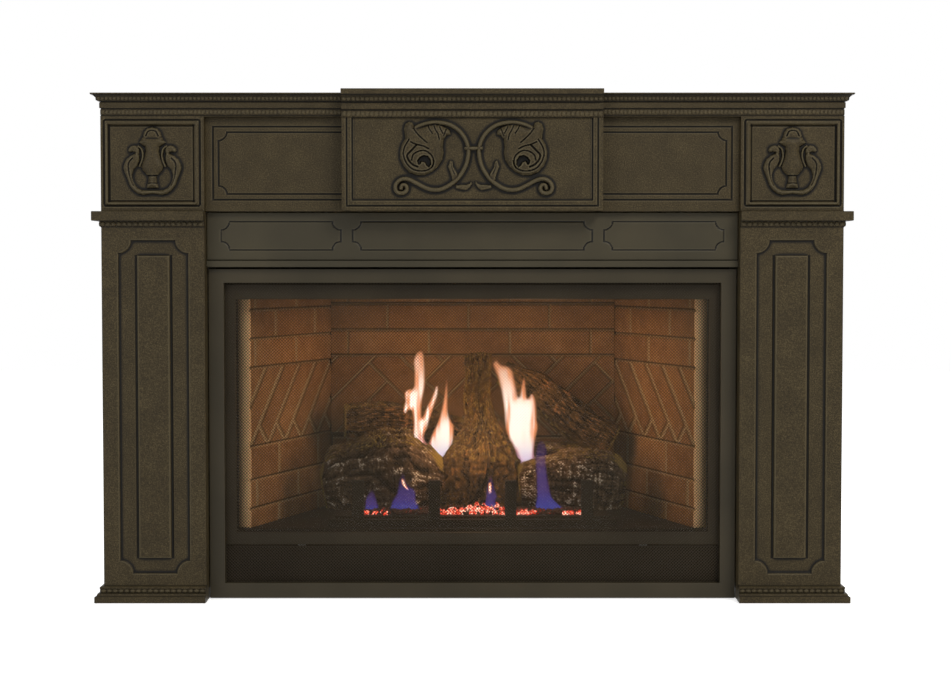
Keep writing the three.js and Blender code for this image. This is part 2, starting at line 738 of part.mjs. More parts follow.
/** Joints between bricks on a wall face, as bars in the wall's own plane: u along it and z up. */
function mortarLines(width, firstRow, rows, offset) {
  const lines = [];
  for (let row = 0; row <= rows; row += 1) {
    const z = firstRow + row * courseHeight;
    lines.push([-mortar, width + mortar, z - mortar / 2, z + mortar / 2]);
  }
  for (let row = 0; row < rows; row += 1) {
    const z = firstRow + row * courseHeight;
    const start = offset + (row % 2 ? brickLength / 2 : 0);
    for (let u = start; u < width; u += brickLength) {
      if (u > mortar) lines.push([u - mortar / 2, u + mortar / 2, z, z + courseHeight]);
    }
  }
  return lines;
}

const lowRows = 2;
const bandFoot = fireFloor + lowRows * courseHeight + bandLift; // herringbone band between the courses
const topRow = bandFoot + bandHeight;
const topRows = 2;

function brickBack() {
  const x = wallBackEdge - seat;
  const plate = block([-x, x], [fireDepth, fireDepth + brickThick], [liner, brickTop]);
  const y = [fireDepth - 1, fireDepth + mortarDepth];
  const cutter = ([u0, u1, z0, z1]) => block([u0 - x, u1 - x], y, [z0, z1]);
  const lines = mortarLines(2 * x, fireFloor + firstCourse, lowRows, backStart[0])
    .concat(mortarLines(2 * x, topRow, topRows, backStart[1]));
  return cut(plate, lines.map(cutter));
}
addPart('brick_back', brickBack(), brickwork);

/** Moves or mirrors a finished solid. */
function moved(body, matrix) {
  const mesh = body.getMesh();
  const geometry = new THREE.BufferGeometry();
  geometry.setAttribute('position', new THREE.BufferAttribute(new Float32Array(mesh.vertProperties), 3));
  geometry.applyMatrix4(matrix);
  const corners = Array.from(mesh.triVerts);
  geometry.setIndex(matrix.determinant() < 0 ? corners.reverse() : corners);
  return solid(geometry);
}

/** The right-hand brick wall, engraved with its joints while its face still lies along x. */
function brickSide() {
  const place = new THREE.Matrix4().makeTranslation(wallFrontEdge, brickFront, 0)
    .multiply(new THREE.Matrix4().makeRotationZ(Math.PI / 2 + slant));
  const back = place.clone().invert();
  const plan = sidePlan(1, 0, skew, brickFront, fireDepth - seat).map(([x, y]) => {
    const point = new THREE.Vector3(x, y, 0).applyMatrix4(back);
    return [point.x, point.y];
  });
  const wall = prism('z', plan, liner, brickTop);
  const cutter = ([u0, u1, z0, z1]) => block([u0, u1], [-mortarDepth, 1], [z0, z1]);
  const lines = mortarLines(wallRun, fireFloor + firstCourse, lowRows, sideStart[0])
    .concat(mortarLines(wallRun, topRow, topRows, sideStart[1]));
  return moved(cut(wall, lines.map(cutter)), place);
}
addPart('brick_right', brickSide(), brickwork);
addPart('brick_left', moved(brickSide(), new THREE.Matrix4().makeScale(-1, 1, 1)), brickwork);

const steelGap = skew + seat / Math.cos(slant);
for (const [name, side] of [['left', -1], ['right', 1]]) {
  const plan = sidePlan(side, steelGap, steelGap + sheet, seat, fireDepth + brickThick);
  addPart(`firebox_${name}`, prism('z', plan, liner, fireTop - seat), blackSteel);
}
const fireBackEdge = wallBackEdge + skew - brickThick * Math.tan(slant);
addPart('firebox_back', block([-fireBackEdge, fireBackEdge],
  [fireDepth + brickThick + seat, fireDepth + brickThick + seat + sheet], [liner, fireTop - seat]), blackSteel);

/** Outline of the firebox seen from above, out to its side walls. */
function firePlan() {
  const grown = steelGap + sheet;
  const right = sidePlan(1, 0, grown, seat, fireDepth + brickThick + seat + sheet);
  return [[-right[1][0], right[1][1]], right[1], right[2], [-right[2][0], right[2][1]]];
}
addPart('firebox_floor', prism('z', firePlan(), fireFloor - sheet, fireFloor), blackSteel);
addPart('firebox_top', cut(prism('z', firePlan(), fireTop, fireTop + sheet),
  collarHole(exhaustX, collarRadius - 4, [fireTop - 1, fireTop + sheet + 1])), blackSteel);

function collar(x, foot) {
  return cut(
    join(collarHole(x, collarRadius, [foot, casingTop + collarRise]),
      collarHole(x, collarRadius + 10, [casingTop + seat, casingTop + seat + sheet])),
    collarHole(x, collarRadius - sheet, [foot - 1, casingTop + collarRise + 1]));
}
addPart('exhaust_collar', collar(exhaustX, fireTop + sheet + seat), bareSteel);
addPart('intake_collar', collar(intakeX, casingTop - 30), bareSteel);

// ---------------------------------------------------------------- burner, grate and embers

const trayTop = fireFloor + seat + trayHeight;
const trayFront = railFront + railThick + 4;

/** Burner tray: a folded pan, open below, with a row of ports near the front. */
function burnerTray() {
  const x = trayWidth / 2;
  const pan = cut(
    block([-x, x], [trayFront, trayFront + trayDepth], [fireFloor + seat, trayTop]),
    block([-x + sheet, x - sheet], [trayFront + sheet, trayFront + trayDepth - sheet],
      [fireFloor - 1, trayTop - sheet]));
  const ports = [];
  for (let i = -4; i <= 4; i += 1) {
    ports.push(round('z', 3, [i * portPitch, trayFront + portSetback], trayTop - sheet - 1, trayTop + 1, 8));
  }
  return cut(pan, ports);
}
addPart('burner_tray', burnerTray(), blackSteel);

function grate() {
  const x = railWidth / 2;
  const z = [fireFloor + seat, fireFloor + seat + railHeight];
  const parts = [
    block([-x, x], [railFront, railFront + railThick], z),
    block([-x, x], [railFront + grateDepth, railFront + grateDepth + railThick], z),
    block([-x, -x + 7], [railFront, railFront + grateDepth + railThick], z),
    block([x - 7, x], [railFront, railFront + grateDepth + railThick], z),
  ];
  for (let i = 0; i < postCount; i += 1) {
    const centre = (i - (postCount - 1) / 2) * postPitch;
    parts.push(block([centre - postWidth / 2, centre + postWidth / 2], [railFront, railFront + railThick],
      [z[0], postTop]));
  }
  return join(parts);
}
addPart('grate', grate(), blackSteel);

/** A lumpy closed body: rings of points along x whose section swells and shrinks. */
function lofted(rings, sides, lump) {
  const corners = [];
  const faces = [];
  rings.forEach(([x, y, z, ry, rz], ring) => {
    for (let i = 0; i < sides; i += 1) {
      const angle = (2 * Math.PI * i) / sides;
      const swell = 1 + lump * Math.sin(3 * angle + ring * 1.7) + lump * 0.6 * Math.sin(5 * angle - ring * 2.3);
      corners.push(x, y + ry * swell * Math.cos(angle), z + rz * swell * Math.sin(angle));
    }
  });
  for (let ring = 0; ring + 1 < rings.length; ring += 1) {
    for (let i = 0; i < sides; i += 1) {
      const next = (i + 1) % sides;
      const [a, b] = [ring * sides + i, ring * sides + next];
      faces.push(a, b, b + sides, a, b + sides, a + sides);
    }
  }
  const last = (rings.length - 1) * sides;
  for (let i = 1; i + 1 < sides; i += 1) {
    faces.push(0, i + 1, i, last, last + i, last + i + 1);
  }
  const geometry = new THREE.BufferGeometry();
  geometry.setAttribute('position', new THREE.Float32BufferAttribute(corners, 3));
  geometry.setIndex(faces);
  return geometry;
}

/**
 * A log along a line: its half heights at even stations, and its depth as a share of them. The room
 * around it is added on every side, which makes the tool that cuts its seat in another log.
 */
function logBody([, from, to, halves, depth], room = 0) {
  const start = new THREE.Vector3(...from);
  const axis = new THREE.Vector3(...to).sub(start);
  const length = axis.length();
  const rings = halves.map((half, i) => {
    const t = i / (halves.length - 1);
    return [length * t + room * (2 * t - 1), 0, 0, half * depth + room, half + room];
  });
  const geometry = lofted(rings, 12, 0.05);
  const alongX = new THREE.Vector3(1, 0, 0);
  geometry.applyQuaternion(new THREE.Quaternion().setFromUnitVectors(alongX, axis.normalize()));
  geometry.translate(...from);
  return solid(geometry);
}

const logFoot = trayTop + seat;
const frontLogY = 124;
const rearLogY = 225;
const logs = [
  ['rear_log', [-205, rearLogY, 161], [205, rearLogY, 161], [40, 45, 47.5, 49, 48.5, 45, 39], 0.78],
  ['front_left_log', [-230, frontLogY, 152], [-38, frontLogY, 148], [24, 50, 66, 84, 86, 64, 42], 0.55],
  ['front_right_log', [70, frontLogY + 4, 146], [236, frontLogY, 146], [40, 45, 52, 60, 60, 52, 20], 0.72],
  ['centre_log', [16, frontLogY - 4, 100], [18, rearLogY - 29, 345], [57, 60, 55, 42, 28, 20, 13], 0.6],
  ['upper_left_log', [-202, rearLogY - 25, 240], [-4, rearLogY, 214], [20, 29, 32, 31, 28, 20], 0.9],
  ['upper_right_log', [214, rearLogY - 17, 205], [46, rearLogY - 18, 318], [24, 31, 34, 33, 27, 17], 0.9],
];
const floorTool = block([-casingEdge, casingEdge], [0, casingDepth], [0, logFoot]);
const placed = [];
for (const log of logs) {
  addPart(log[0], cut(logBody(log), floorTool, placed), charredLog);
  placed.push(logBody(log, 0.4));
}

/** Glowing embers heaped on the tray in front of the logs, cut to lie against them. */
function embers() {
  const rings = [];
  const stations = 17;
  const half = 178;
  for (let i = 0; i < stations; i += 1) {
    const t = i / (stations - 1);
    const heap = 0.75 + 0.25 * Math.sin(i * 2.1) + (i === 0 || i === stations - 1 ? -0.35 : 0);
    const y = trayFront + 4 + emberDepth / 2;
    rings.push([-half + 2 * half * t, y, logFoot, emberDepth / 2, emberHeight * heap]);
  }
  return cut(solid(lofted(rings, 10, 0.05)), floorTool, placed);
}
addPart('ember_bed', embers(), emberBed);

// ---------------------------------------------------------------- pilot

const pilotX = 150;
const pilotY = frontLogY + 53.5;
const pilotFoot = trayTop + seat;
addPart('pilot_burner', join(
  block([pilotX - 22, pilotX + 22], [pilotY - 8, pilotY + 8], [pilotFoot, pilotFoot + 3]),
  block([pilotX - 22, pilotX - 19], [pilotY - 8, pilotY + 8], [pilotFoot, pilotFoot + 30]),
  round('z', 5, [pilotX - 12, pilotY], pilotFoot + 2, pilotFoot + 44, 12),
  block([pilotX - 19, pilotX - 5], [pilotY - 7, pilotY + 7], [pilotFoot + 40, pilotFoot + 50]),
), bareSteel);
addPart('thermopile', round('z', 4, [pilotX, pilotY], pilotFoot + 3 + seat, pilotFoot + 58, 12), bareSteel);
addPart('spark_electrode', join(
  round('z', 3.5, [pilotX + 12, pilotY], pilotFoot + 3 + seat, pilotFoot + 40, 10),
  round('z', 1.2, [pilotX + 12, pilotY], pilotFoot + 39, pilotFoot + 56, 8),
), finish(0xe8e4da, 0.4, 0));

// ---------------------------------------------------------------- control compartment

const compartment = [casingFoot + sheet + seat, fireFloor - sheet - seat];
const panelZone = [compartment[0], compartment[1] - 3];
const gasKnobX = 215;
const flameKnobX = 158;
const buttonX = 108;
const speedKnobX = 50;
const panelY = [panelBack, panelBack + sheet];

/** Bracket across the compartment that carries the knobs and the igniter button. */
function controlPanel() {
  const x = [speedKnobX - 30, gasKnobX + 35];
  const plate = join(
    block(x, panelY, panelZone),
    block(x, [panelBack - 12, panelBack + 1], [panelZone[0], panelZone[0] + sheet]));
  const y = [panelY[0] - 1, panelY[1] + 1];
  const hole = (centre, radius) => round('y', radius + seat, [centre, controlHeight], ...y, 16);
  return cut(plate, hole(gasKnobX, shaftRadius), hole(flameKnobX, shaftRadius),
    hole(speedKnobX, shaftRadius), hole(buttonX, buttonRadius * 0.7));
}
addPart('control_panel', controlPanel(), bareSteel);

/** A ribbed knob with a grip bar across its face, as far out from the panel as it can be pushed in. */
function knob(x, radius, travel) {
  const back = panelBack - seat - travel;
  const face = back - knobDepth;
  const ribs = [];
  const ribCount = 10;
  for (let i = 0; i < ribCount; i += 1) {
    const angle = (2 * Math.PI * i) / ribCount;
    const centre = [x + radius * Math.cos(angle), controlHeight + radius * Math.sin(angle)];
    ribs.push(round('y', radius * 0.14, centre, face - 1, panelBack, 6));
  }
  return join(
    cut(round('y', radius, [x, controlHeight], face + 6, back, 30), ribs),
    block([x - radius * 0.2, x + radius * 0.2], [face, face + 7],
      [controlHeight - radius * 0.85, controlHeight + radius * 0.85]));
}

const shaftEnd = panelY[1] + 6;
const shaft = (x, start) => round('y', shaftRadius, [x, controlHeight], start, shaftEnd, 16);
const gasKnobBack = panelBack - seat - knobPush;
const knobBore = 8;
addPart('gas_knob', cut(knob(gasKnobX, gasKnobRadius, knobPush),
  round('y', shaftRadius + seat, [gasKnobX, controlHeight], gasKnobBack - knobBore, gasKnobBack + 1, 16)),
blackPlastic);
addPart('gas_knob_shaft', shaft(gasKnobX, gasKnobBack - knobBore + seat), zincPlate);
const fixedKnob = (x, radius) => join(knob(x, radius, 0), shaft(x, panelBack - seat - 1));
addPart('flame_knob', fixedKnob(flameKnobX, flameKnobRadius), blackPlastic);
addPart('fan_speed_knob', fixedKnob(speedKnobX, speedKnobRadius), blackPlastic);

addPart('igniter_button', join(
  round('y', buttonRadius, [buttonX, controlHeight], panelBack - seat - buttonTravel - 6,
    panelBack - seat - buttonTravel, 20),
  round('y', buttonRadius * 0.7, [buttonX, controlHeight], panelBack - seat - buttonTravel - 1,
    panelY[1] + 4, 16),
), finish(0xa5231c, 0.4, 0));

/** Gas valve: a cast block behind the two larger knobs, open where their shafts enter. */
function gasValve() {
  const y = [panelY[1] + seat, panelY[1] + valveDepth];
  const body = join(
    block([flameKnobX - 22, gasKnobX + 24], y, [compartment[0] + 12, compartment[1] - 12]),
    block([flameKnobX - 10, gasKnobX + 10], [y[0] + 8, y[1] - 4], [compartment[0], compartment[1] - 10]));
  const socket = (x, depth) => round('y', shaftRadius + seat, [x, controlHeight], y[0] - 1, depth, 16);
  return cut(body, socket(gasKnobX, shaftEnd + knobPush + seat), socket(flameKnobX, shaftEnd + seat));
}
addPart('gas_valve', gasValve(), zincPlate);

/** Gas tube from the back of the valve to the orifice under the burner tray. */
const tubeZ = controlHeight - tubeDrop;
const tubeX = gasKnobX - tubeStart;
const valveBack = panelY[1] + valveDepth;
const elbowX = tubeX - tubeRun;
const elbowY = valveBack + tubeReach;
const bends = [[0, 0.33], [0.12, 0.72], [0.38, 0.95], [0.69, 1], [1, 1]]; // shares of its run and its reach
addPart('burner_tube', join(
  rod([[tubeX, valveBack + seat, tubeZ]].concat(
    bends.map(([u, v]) => [tubeX - u * tubeRun, valveBack + v * tubeReach, tubeZ])), tubeRadius, 24, 8),
  block([elbowX - elbowHalf, elbowX + elbowHalf], [elbowY - elbowHalf, elbowY + elbowHalf],
    [tubeZ - elbowHalf, tubeZ + elbowHalf]),
  round('z', elbowHalf * 0.7, [elbowX, elbowY], tubeZ + elbowHalf - 1, compartment[1], 12),
), brass);

// ---------------------------------------------------------------- fan

const fanX = -210;
const fanY = 250;
const fanZ = 54;
const fanHalf = fanLength / 2;
const fanClear = 4;
const axleRadius = 3;
const housingGap = fanRadius + fanClear;

/** Cross-flow fan wheel: two end discs, a shaft and straight blades, in one piece. */
function fanWheel() {
  const parts = [
    round('x', fanRadius, [fanY, fanZ], fanX - fanHalf, fanX - fanHalf + 2, 20),
    round('x', fanRadius, [fanY, fanZ], fanX + fanHalf - 2, fanX + fanHalf, 20),
    round('x', axleRadius, [fanY, fanZ], fanX - fanHalf - fanClear - sheet,
      fanX + fanHalf + fanClear + sheet, 10),
  ];
  for (let i = 0; i < fanBlades; i += 1) {
    const blade = new THREE.BoxGeometry(fanLength - 2, 7, 1.2);
    blade.translate(0, fanRadius - 4.2, 0);
    blade.rotateX((2 * Math.PI * i) / fanBlades);
    blade.translate(fanX, fanY, fanZ);
    parts.push(solid(blade));
  }
  return join(parts);
}
addPart('fan_wheel', fanWheel(), zincPlate);

/** Fan housing: open to the front, where it draws air, and at the top of its back, where it blows. */
function fanHousing() {
  const outerX = [fanX - fanHalf - fanClear - sheet, fanX + fanHalf + fanClear + sheet];
  const y = [fanY - housingGap, fanY + housingGap + sheet];
  const z = [compartment[0], fanZ + housingGap + sheet];
  const shell = block(outerX, y, z);
  const innerX = [outerX[0] + sheet, outerX[1] - sheet];
  const inside = block(innerX, [y[0] - 1, y[1] - sheet], [z[0] + sheet, z[1] - sheet]);
  const outlet = block(innerX, [y[1] - sheet - 1, y[1] + 1], [fanZ + 6, z[1] - sheet]);
  const axle = round('x', axleRadius + seat, [fanY, fanZ], outerX[0] - 1, outerX[1] + 1, 12);
  return cut(shell, inside, outlet, axle);
}
addPart('fan_housing', fanHousing(), bareSteel);
addPart('fan_motor', join(
  round('x', 20, [fanY, fanZ], fanX + fanHalf + fanClear + sheet + seat, fanX + fanHalf + 54, 20),
  block([fanX + fanHalf + 16, fanX + fanHalf + 44], [fanY - 16, fanY + 16], [compartment[0], fanZ - 8]),
), blackSteel);

// ---------------------------------------------------------------- control door and glass latches

const doorY = [-18, -18 + sheet];
const doorZ = [screenFoot + screenBar - 4, glassFoot - 1.5];
const doorEdge = frameEdge - 4;
const pinRadius = 2.5;
const pinZ = doorZ[0] + 4;
const pinY = doorY[1] + 3.5;

/** Door over the controls. It turns down and forward on two pins through its lower ears. */
function controlDoor() {
  const face = block([-doorEdge, doorEdge], doorY, doorZ);
  const ear = (x) => cut(
    block([x - 1.5, x + 1.5], [doorY[1] - 1, pinY + 4], [doorZ[0], pinZ + 5]),
    round('x', pinRadius + seat, [pinY, pinZ], x - 3, x + 3, 12));
  const hem = block([-doorEdge + 12, doorEdge - 12], [doorY[1] - 1, doorY[1] + 4],
    [doorZ[1] - sheet, doorZ[1]]);
  return join(face, hem, ear(-doorEdge + 4), ear(doorEdge - 4));
}
addPart('control_door', controlDoor(), blackSteel);

/** Hinge pins, each on a bracket that stands on the front flange. */
for (const [name, side] of [['left', -1], ['right', 1]]) {
  const plate = mirror(side, [doorEdge - 12, doorEdge - 9]);
  const pin = mirror(side, [doorEdge - 12, doorEdge - 1]);
  addPart(`${name}_door_hinge`, join(
    block(plate, [pinY - 2.4, flangeY[0] - seat], [pinZ - 2.4, pinZ + 5]),
    round('x', pinRadius, [pinY, pinZ], pin[0], pin[1], 12),
  ), blackSteel);
}

/** Cam latches that hold the foot of the glass frame; each lever turns aside on a pin in the flange. */
for (const [name, side] of [['left', -1], ['right', 1]]) {
  const x = side * latchX;
  const y = [flangeY[0] - seat - latchThick, flangeY[0] - seat];
  addPart(`${name}_glass_latch`, join(
    round('y', 7, [x, latchZ], ...y, 16),
    block([x - 5, x + 5], y, [latchZ - 38, latchZ]),
    block([x - 5, x + 5], [y[0] - 3, y[1]], [latchZ - 38, latchZ - 34]),
    round('y', latchPin, [x, latchZ], y[1] - 1, flangeY[1] + 4, 12),
  ), zincPlate);
}

// origin on the floor, at the centre of the footprint
const frontMost = centreFace - centreShelfReach;
fireplace.position.y = -(frontMost + casingDepth) / 2;

export default fireplace;
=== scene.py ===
"""Looks of a gas fireplace insert behind its ornamental cast iron surround.

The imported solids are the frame. The castings, the brick liner, the logs, the embers, the hood strip and the
screen's wire are modelled again here with their ornament and texture, and every other piece keeps its solid
and gets its finish.

Sizes are in millimetres from the wall plane, as in the part's source: x to the right, y into the wall, z up.
"""

import json
import math

import bpy
import numpy as np
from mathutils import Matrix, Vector


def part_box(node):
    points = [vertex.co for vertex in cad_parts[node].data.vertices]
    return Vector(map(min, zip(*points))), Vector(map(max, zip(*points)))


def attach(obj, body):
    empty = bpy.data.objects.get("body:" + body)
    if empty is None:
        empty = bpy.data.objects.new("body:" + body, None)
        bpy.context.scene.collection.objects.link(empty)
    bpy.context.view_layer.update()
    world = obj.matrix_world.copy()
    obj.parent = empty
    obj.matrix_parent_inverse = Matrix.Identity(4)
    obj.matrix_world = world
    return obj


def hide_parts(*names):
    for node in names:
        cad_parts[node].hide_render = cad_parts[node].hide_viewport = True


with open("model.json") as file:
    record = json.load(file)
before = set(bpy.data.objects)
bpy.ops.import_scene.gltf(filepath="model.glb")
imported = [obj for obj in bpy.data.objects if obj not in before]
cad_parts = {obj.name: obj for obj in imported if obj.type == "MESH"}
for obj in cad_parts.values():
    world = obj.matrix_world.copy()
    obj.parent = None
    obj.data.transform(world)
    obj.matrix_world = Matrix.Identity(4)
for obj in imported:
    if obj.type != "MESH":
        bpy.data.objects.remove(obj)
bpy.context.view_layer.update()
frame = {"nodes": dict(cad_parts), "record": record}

nodes = frame["nodes"]

MM = 0.001
WALL_Y = -119.5  # the wall plane in the row frame
FULL_TURN = 2 * math.pi

# ---------------------------------------------------------------- sizes shared with the solids, in mm

OPENING_EDGE = 382  # half the surround's opening
OUTER_EDGE = 529
LEG_CENTRE = 455.5
LEG_FACE = -60
LEG_TOP = 560
CAP_FOOT = 546.5
CAP_BEAD_FOOT = 538
CAP_REACH = 12
CAST_WALL = 8

HEADER_FOOT = 560.3
FACE_TOP = 694.3
SHELF_TOP = 727.3
FRIEZE_FACE = -50

BLOCK_EDGE = 185  # half the centre block
BLOCK_FACE = -78
BLOCK_FACE_TOP = 691.2
BLOCK_SHELF_FOOT = 722.3
BLOCK_TOP = 731.3
BLOCK_SHELF_REACH = 15

HOOD_EDGE = 381.4
HOOD_FACE = -40
MESH_X = 363.5
MESH_Z = (18.0, 463.0)
MESH_Y = (-21.7, -20.2)

FIRE_FLOOR = 97.3
BRICK_TOP = 438
BRICK_THICK = 20
BACK_FACE = 292

# ---------------------------------------------------------------- materials


def linear(code):
    """An sRGB hex value as linear red, green, blue and alpha."""
    values = [int(code[i : i + 2], 16) / 255 for i in (1, 3, 5)]
    return [v / 12.92 if v <= 0.04045 else ((v + 0.055) / 1.055) ** 2.4 for v in values] + [1.0]


def output_of(source):
    """An output itself, or the first output in use of a node."""
    if isinstance(source, bpy.types.NodeSocket):
        return source
    return next(output for output in source.outputs if output.enabled)


def add_node(tree, kind, links=None, stops=(), **settings):
    """Adds a node, sets its properties, sockets (in_ and a name or number) and colour stops, and links its
    inputs to other nodes. A hex value is a colour."""
    node = tree.nodes.new("ShaderNode" + kind)
    for name, value in settings.items():
        if name.startswith("in_"):
            key = name[3:].replace("_", " ")
            socket = node.inputs[int(key) if key.isdigit() else key]
            socket.default_value = linear(value) if isinstance(value, str) else value
        else:
            setattr(node, name, value)
    for key, source in (links or {}).items():
        tree.links.new(output_of(source), node.inputs[key])
    elements = node.color_ramp.elements if stops else []
    while len(elements) < len(stops):
        elements.new(0.5)
    for element, (place, code) in zip(elements, stops):
        element.position = place
        element.color = linear(code)
    return node


def surface(name, **settings):
    """A new material with its shader's sockets set, its node tree, and the place of a point on the piece."""
    material = bpy.data.materials.new(name)
    material.use_nodes = True
    tree = material.node_tree
    for key, value in settings.items():
        tree.nodes["Principled BSDF"].inputs[key.replace("_", " ")].default_value = value
    return material, tree, add_node(tree, "TexCoord").outputs["Object"]


def finished(material, colour, height=None, depth=0.0, strength=1.0, glow=None):
    """Gives the shader its colour, its own light, and a fine relief of the given depth in metres."""
    tree = material.node_tree
    links = {"Base Color": colour}
    if height:
        links["Normal"] = add_node(tree, "Bump", {"Height": height}, in_Distance=depth, in_Strength=strength)
    if glow:
        links["Emission Color"] = glow
    for key, source in links.items():
        tree.links.new(output_of(source), tree.nodes["Principled BSDF"].inputs[key])
    return material


def painted_over(tree, colour, *coats):
    """A colour with others laid over it. How far each covers is an output, or the name of a point value."""
    for share, code in coats:
        if isinstance(share, str):
            share = add_node(tree, "Attribute", attribute_name=share).outputs["Fac"]
        colour = add_node(tree, "Mix", {"Factor": share, 6: colour}, data_type="RGBA", in_7=code)
    return colour


def sand_cast_iron():
    """Grey iron cast in sand under bronze-brown stove paint: a fine grit that breaks every highlight into
    specks, near black in the grooves where dust lies and shade is painted, and paler where hands and
    cloths have rubbed the crests and a highlight is painted on them."""
    material, tree, place = surface("bronze_painted_sand_cast_iron", Roughness=0.5, Specular_IOR_Level=0.16)
    # real moulding sand is 0.3 mm, drawn at 1.6 mm so that it shows
    grit = add_node(tree, "TexNoise", {"Vector": place}, in_Scale=620, in_Detail=2, in_Roughness=0.6)
    patches = add_node(tree, "TexNoise", {"Vector": place}, in_Scale=30, in_Detail=3)
    mixed = add_node(tree, "Mix", {2: grit, 3: patches}, in_0=0.2)
    colour = add_node(tree, "ValToRGB", {"Fac": mixed},
                      [(0.3, "#211b0f"), (0.5, "#362e1c"), (0.7, "#50462f")])
    # dust and painted shade in the grooves, rubbing and a painted highlight on the crests
    return finished(material, painted_over(tree, colour, ("worn", "#6f6750"), ("hollow", "#080603")), grit,
                    0.0007, 0.6)


def powder_coat(name, code, low_code, roughness, sheen=0.16):
    """Satin powder coat on folded steel: an even tone with the faint orange peel of the coat."""
    material, tree, place = surface(name, Roughness=roughness, Specular_IOR_Level=sheen)
    peel = add_node(tree, "TexNoise", {"Vector": place}, in_Scale=420, in_Detail=1)
    tone = add_node(tree, "TexNoise", {"Vector": place}, in_Scale=9, in_Detail=2)
    colour = add_node(tree, "ValToRGB", {"Fac": tone}, [(0.35, low_code), (0.65, code)])
    # dust and painted shade in pressed lines, rubbing and a painted highlight on edges
    return finished(material, painted_over(tree, colour, ("worn", "#777059"), ("hollow", "#080705")), peel,
                    0.0002, 0.3)


def grained(name, pattern, stops, depth=0.0, strength=1.0, drawn=None, **settings):
    """A finish whose colour and fine relief follow one pattern of (kind, scale, detail), drawn out in some
    directions."""
    material, tree, place = surface(name, **settings)
    if drawn:
        place = add_node(tree, "Mapping", {"Vector": place}, in_Scale=drawn)
    kind, scale, detail = pattern
    grain = add_node(tree, kind, {"Vector": place}, in_Scale=scale, in_Detail=detail)
    colour = add_node(tree, "ValToRGB", {"Fac": grain}, stops)
    return finished(material, colour, grain if depth else None, depth, strength)


def moulded_brick():
    """Ceramic fibre moulded and painted as old brick: brown, slightly uneven bricks with rough faces and
    lighter scuffs, joints with painted shade along their upper edge and dusty olive below, painted shade
    over the top courses, and pale tan ends brightened further by painted light."""
    material, tree, place = surface("painted_fibre_brick", Roughness=0.95, Specular_IOR_Level=0.1)
    tone = add_node(tree, "Attribute", attribute_name="brick_tone").outputs["Fac"]
    # brick grit is about 2 mm across
    grit = add_node(tree, "TexNoise", {"Vector": place}, in_Scale=260, in_Detail=4, in_Roughness=0.7)
    scuffs = add_node(tree, "TexNoise", {"Vector": place}, in_Scale=38, in_Detail=5, in_Roughness=0.65)
    mixed = add_node(tree, "Mix", {2: scuffs, 3: tone}, in_0=0.4)
    colour = add_node(tree, "ValToRGB", {"Fac": mixed},
                      [(0.25, "#63482c"), (0.5, "#876843"), (0.75, "#a38257")])
    # joints in their own colour, pale ends lit further by painted light, painted shade over the rest
    colour = painted_over(tree, colour, ("joint", "#998a66"), ("rim", "#f6cf98"), ("shade", "#1c120a"))
    return finished(material, colour, grit, 0.0012, 0.7)


def charred_bark(name, dark, mid, bark, olive_and_firelight_colour, ash):
    """Ceramic fibre log painted as charred bark: near black between small crumpled plates of brown, flecks of
    ash on the ridges, and wavy olive-yellow strands where bark is left along the top, lit there by painted
    firelight, and on the cut ends."""
    material, tree, _ = surface(name, Roughness=0.95, Specular_IOR_Level=0.1)
    # the grain map runs in metres along and round the log
    grain = add_node(tree, "UVMap", uv_map="grain")
    crest, left = [add_node(tree, "Attribute", attribute_name=key).outputs["Fac"]
                   for key in ("ridge", "bark_left")]
    # strands 13 mm long and 3 mm wide, and plates of about 5 by 3 mm
    strands, plates = [
        add_node(tree, "TexNoise", {"Vector": add_node(tree, "Mapping", {"Vector": grain}, in_Scale=scale)},
                 in_Scale=1, in_Detail=3, in_Roughness=0.65, in_Distortion=twist)
        for scale, twist in (((75, 300, 1), 2.2), ((210, 330, 1), 1.4))]
    cover = add_node(tree, "TexNoise", {"Vector": grain}, in_Scale=34, in_Detail=2)
    crumpled = add_node(tree, "Mix", {2: crest, 3: plates}, in_0=0.55)
    colour = add_node(tree, "ValToRGB", {"Fac": crumpled}, [(0.36, dark), (0.5, mid), (0.66, bark)])
    # olive strands where bark is left; on the top of the logs they also stand for painted firelight
    patchy = add_node(tree, "Math", {0: strands, 1: left}, operation="MULTIPLY", use_clamp=True)
    olive_and_firelight = add_node(tree, "MapRange", {"Value": patchy}, in_From_Min=0.35, in_From_Max=0.44)
    ash_place = add_node(tree, "Math", {0: plates, 1: crest}, operation="MULTIPLY")
    ash_spread = add_node(tree, "Math", {0: ash_place, 1: cover}, operation="MULTIPLY")
    flecks = add_node(tree, "MapRange", {"Value": ash_spread}, in_From_Min=0.18, in_From_Max=0.225)
    bare = add_node(tree, "Math", {0: flecks, 1: left}, operation="SUBTRACT", use_clamp=True)
    crust = add_node(tree, "Math", {0: plates, 1: strands}, operation="ADD")
    return finished(material, painted_over(tree, colour, (olive_and_firelight, olive_and_firelight_colour), (bare, ash)), crust, 0.003, 0.9)


def glowing_fibre():
    """Glowing mineral wool embers: dark lumps whose tufts glow from red through orange to white."""
    material, tree, place = surface("glowing_mineral_wool", Roughness=0.9, Emission_Strength=1.8)
    # tufts are about 3 mm across
    tufts = add_node(tree, "TexNoise", {"Vector": place}, in_Scale=300, in_Detail=2)
    warm = add_node(tree, "Attribute", attribute_name="warmth").outputs["Fac"]
    heat = add_node(tree, "Math", {0: tufts, 1: warm}, operation="MULTIPLY")
    colour = add_node(tree, "ValToRGB", {"Fac": heat}, [(0.1, "#1a100c"), (0.4, "#4d1c10")])
    glow = add_node(tree, "ValToRGB", {"Fac": heat},
                    [(0.3, "#000000"), (0.42, "#a81a0c"), (0.54, "#ff4220"), (0.72, "#ffe0c4")])
    return finished(material, colour, glow=glow)


